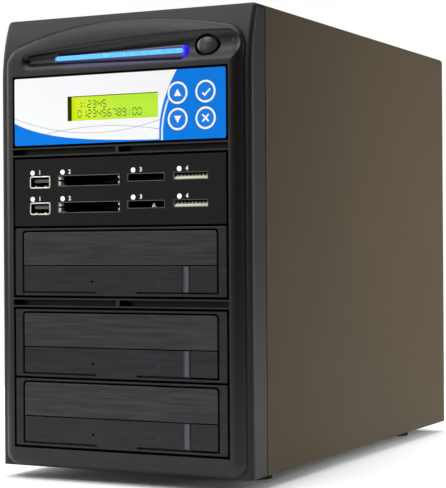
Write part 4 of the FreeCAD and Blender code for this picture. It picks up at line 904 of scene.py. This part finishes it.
def cutAcross(form, place, direction):          # finer faces over the brow, for the crown to bend at
    for face in form.faces:
        middle = face.calc_center_median() / mm
        face.tag = middle.y < frontY + frontMask["deep"] and middle.z > frontMask["stillEnd"]
    faces = [face for face in form.faces if face.tag]
    edges = [edge for edge in form.edges if any(face.tag for face in edge.link_faces)]
    verts = [vert for vert in form.verts if any(face.tag for face in vert.link_faces)]
    bmesh.ops.bisect_plane(form, geom=verts + edges + faces, plane_co=place, plane_no=direction)


def maskNormals(mesh, plain, rest):             # the plain mask's own smooth normals, turned with the surface
    tree = BVHTree.FromPolygons([vert.co for vert in plain.vertices],
                                [tuple(face.vertices) for face in plain.polygons])
    corners = [corner.vector.copy() for corner in plain.corner_normals]
    step = frontMask["probe"] * mm
    normals = []
    for face in mesh.polygons:
        spots = [rest[i] for i in face.vertices]
        base = plain.polygons[tree.find_nearest(sum(spots, Vector()) / len(spots))[2]]
        around = [plain.vertices[i].co for i in base.vertices]
        for spot in spots:
            weights = poly_3d_calc(around, spot)
            shares = [corners[i] * weight for i, weight in zip(base.loop_indices, weights)]
            normal = sum(shares, Vector()).normalized()
            first = normal.orthogonal().normalized()
            second = normal.cross(first)
            ways = [onMask(spot + way * step) - onMask(spot - way * step) for way in (first, second)]
            turned = ways[0].cross(ways[1])
            normals.append(turned.normalized() if turned.length > 0.0 else face.normal.copy())
    return normals


def makeFrontMask():
    plain = nodes["front_bezel"].data
    form = bmesh.new()
    form.from_mesh(plain)
    bmesh.ops.remove_doubles(form, verts=form.verts, dist=frontMask["weld"] * mm)
    for i in range(-frontMask["stepsBelow"], int(frontMask["tall"] / frontMask["stepZ"]) + 1):
        cutAcross(form, (0.0, 0.0, (frontMask["low"] + i * frontMask["stepZ"]) * mm), (0.0, 0.0, 1.0))
    count = int(frontMask["reach"] / frontMask["stepX"])
    for i in range(-count, count + 1):
        cutAcross(form, (i * frontMask["stepX"] * mm, 0.0, 0.0), (1.0, 0.0, 0.0))
    bmesh.ops.dissolve_degenerate(form, dist=frontMask["sliver"] * mm, edges=form.edges)
    rest = [vert.co.copy() for vert in form.verts]
    for vert in form.verts:
        vert.co = onMask(vert.co)
    piece = Piece("frontMask")
    piece.add(form, lookOf["front_bezel"])
    mask = piece.finish("cabinet", "bezel_plastic", "front_bezel")
    mask.data.normals_split_custom_set(maskNormals(mask.data, plain, rest))


makePortShells()
makeCardLiners()
makeCardGuides()
makeContactCombs()
makeLampMarks()
makeDisplayDots()
makeFanGuard()
makeCrossShades()
makeRockerMarks()
makeFrontMask()

# Rounded edges on the drives' fronts, angles in degrees
softEdge = {"width": 0.35, "segments": 2, "weld": 0.01, "flat": 0.4, "sharp": 40.0}


def soften(name):
    obj = nodes[name]
    weld = obj.modifiers.new("weld", "WELD")
    weld.merge_threshold = softEdge["weld"] * mm
    flat = obj.modifiers.new("flat", "DECIMATE")
    flat.decimate_type = "DISSOLVE"
    flat.angle_limit = math.radians(softEdge["flat"])
    edge = obj.modifiers.new("edge", "BEVEL")
    edge.width = softEdge["width"] * mm
    edge.segments = softEdge["segments"]
    edge.limit_method = "ANGLE"
    edge.angle_limit = math.radians(softEdge["sharp"])
    edge.use_clamp_overlap = False
    even = obj.modifiers.new("even", "WEIGHTED_NORMAL")
    even.keep_sharp = True


for number in drives:
    for part in ("bezel", "door", "eject"):
        soften("drive_%d_%s" % (number, part))
print("edges softened")


# Studio: pale floor and backdrop, a soft sky, and soft boxes round the object
studio = {"room": 0.03, "backdrop": 1.0, "sky": 2.55, "skySoft": 70.0, "floorReach": 0.6, "floorSides": 96,
          "floorGlow": 0.21, "halfX": 88.0, "halfY": 177.0, "shade": (-6.0, 14.0),      # no glow under the object nor close round it: a painted contact shadow
          "boxes": (("leftBox", (-1.5, -0.45, 0.55), (0.0, 0.0, 0.14), (0.7, 0.9), 8.5),
                    ("frontBox", (-0.95, -1.7, 0.45), (0.0, 0.0, 0.14), (0.9, 0.9), 5.0),
                    ("rightBox", (0.5, 0.12, 0.2), (0.1, 0.3, 0.2), (0.2, 0.45), 2.75),
                    ("topBox", (-0.5, -1.2, 1.25), (0.0, 0.0, 0.14), (0.9, 0.7), 10.3),
                    ("ridgeBox", (-1.1, -0.4, 0.98), (0.0, 0.0, 0.2), (0.35, 0.35), 3.0),
                    ("archBox", (-0.7, -0.55, 1.2), (0.0, 0.0, 0.2), (0.35, 0.35), 1.0))}


def makeRoom():                                 # dim for the object, bright behind it
    world = bpy.data.worlds.new("paleRoom")
    scene.world = world
    world.use_nodes = True
    tree = world.node_tree
    room = tree.nodes["Background"]
    backdrop = tree.nodes.new("ShaderNodeBackground")
    for node, strength in ((room, studio["room"]), (backdrop, studio["backdrop"])):
        node.inputs["Color"].default_value = white
        node.inputs["Strength"].default_value = strength
    path = tree.nodes.new("ShaderNodeLightPath")
    blend = tree.nodes.new("ShaderNodeMixShader")
    tree.links.new(path.outputs["Is Camera Ray"], blend.inputs[0])
    tree.links.new(room.outputs[0], blend.inputs[1])
    tree.links.new(backdrop.outputs[0], blend.inputs[2])
    tree.links.new(blend.outputs[0], tree.nodes["World Output"].inputs["Surface"])
    scene.view_settings.view_transform = "Standard"


def makeFloor():
    form = bmesh.new()
    bmesh.ops.create_circle(form, cap_ends=True, segments=studio["floorSides"], radius=studio["floorReach"])
    mesh = bpy.data.meshes.new("floor")
    form.to_mesh(mesh)
    form.free()
    look = Finish("floorPaper")
    soft = look.noise(300.0)
    paper = look.mix(soft, rgb(247, 247, 247), rgb(250, 250, 250))
    x, y, z = look.axes()
    # painted contact shadow: the glow fades out under the object and close round it
    away = (abs(x) - studio["halfX"]).either(abs(y) - studio["halfY"]).rise(*studio["shade"])
    glow = look.mix(away, black, paper)
    mesh.materials.append(look.dress(colour=paper, rough=0.8, glow=glow, glowPower=studio["floorGlow"]))
    floor = placed("floor", mesh)


def makeLights():
    sky = bpy.data.lights.new("softSky", "SUN")
    sky.energy = studio["sky"]
    sky.angle = math.radians(studio["skySoft"])
    placed("softSky", sky)
    for name, place, aim, (wide, tall), power in studio["boxes"]:
        light = bpy.data.lights.new(name, "AREA")
        light.shape = "RECTANGLE"
        light.size = wide
        light.size_y = tall
        light.energy = power
        lamp = placed(name, light)
        lamp.location = place
        lamp.rotation_euler = (Vector(aim) - Vector(place)).to_track_quat("-Z", "Y").to_euler()
        lamp.visible_camera = False


# Camera: where the photograph was taken from, angles in degrees, focal length in rows of the picture
photoView = {"place": (0.48848, -1.00959, 0.14515), "azimuth": 26.59, "elevation": -0.08, "roll": -0.36,
             "focal": 1587.31, "rows": 488.0, "sensor": 36.0, "near": 0.05}


def makeCamera():
    turn = math.radians(photoView["azimuth"])
    tilt = math.radians(photoView["elevation"])
    roll = math.radians(photoView["roll"])
    back = Vector((math.sin(turn) * math.cos(tilt), -math.cos(turn) * math.cos(tilt), math.sin(tilt)))
    right = Vector((math.cos(turn), math.sin(turn), 0.0))
    up = back.cross(right)
    sideways = math.cos(roll) * right + math.sin(roll) * up
    upright = math.cos(roll) * up - math.sin(roll) * right
    lens = bpy.data.cameras.new("photoCamera")
    lens.sensor_fit = "VERTICAL"
    lens.sensor_height = photoView["sensor"]
    lens.lens = photoView["sensor"] * photoView["focal"] / photoView["rows"]
    lens.clip_start = photoView["near"]
    camera = placed("photoCamera", lens)
    axes = Matrix((sideways, upright, back)).transposed()
    camera.matrix_world = Matrix.Translation(photoView["place"]) @ axes.to_4x4()
    scene.camera = camera


makeRoom()
makeFloor()
makeLights()
makeCamera()
print("studio and camera set")
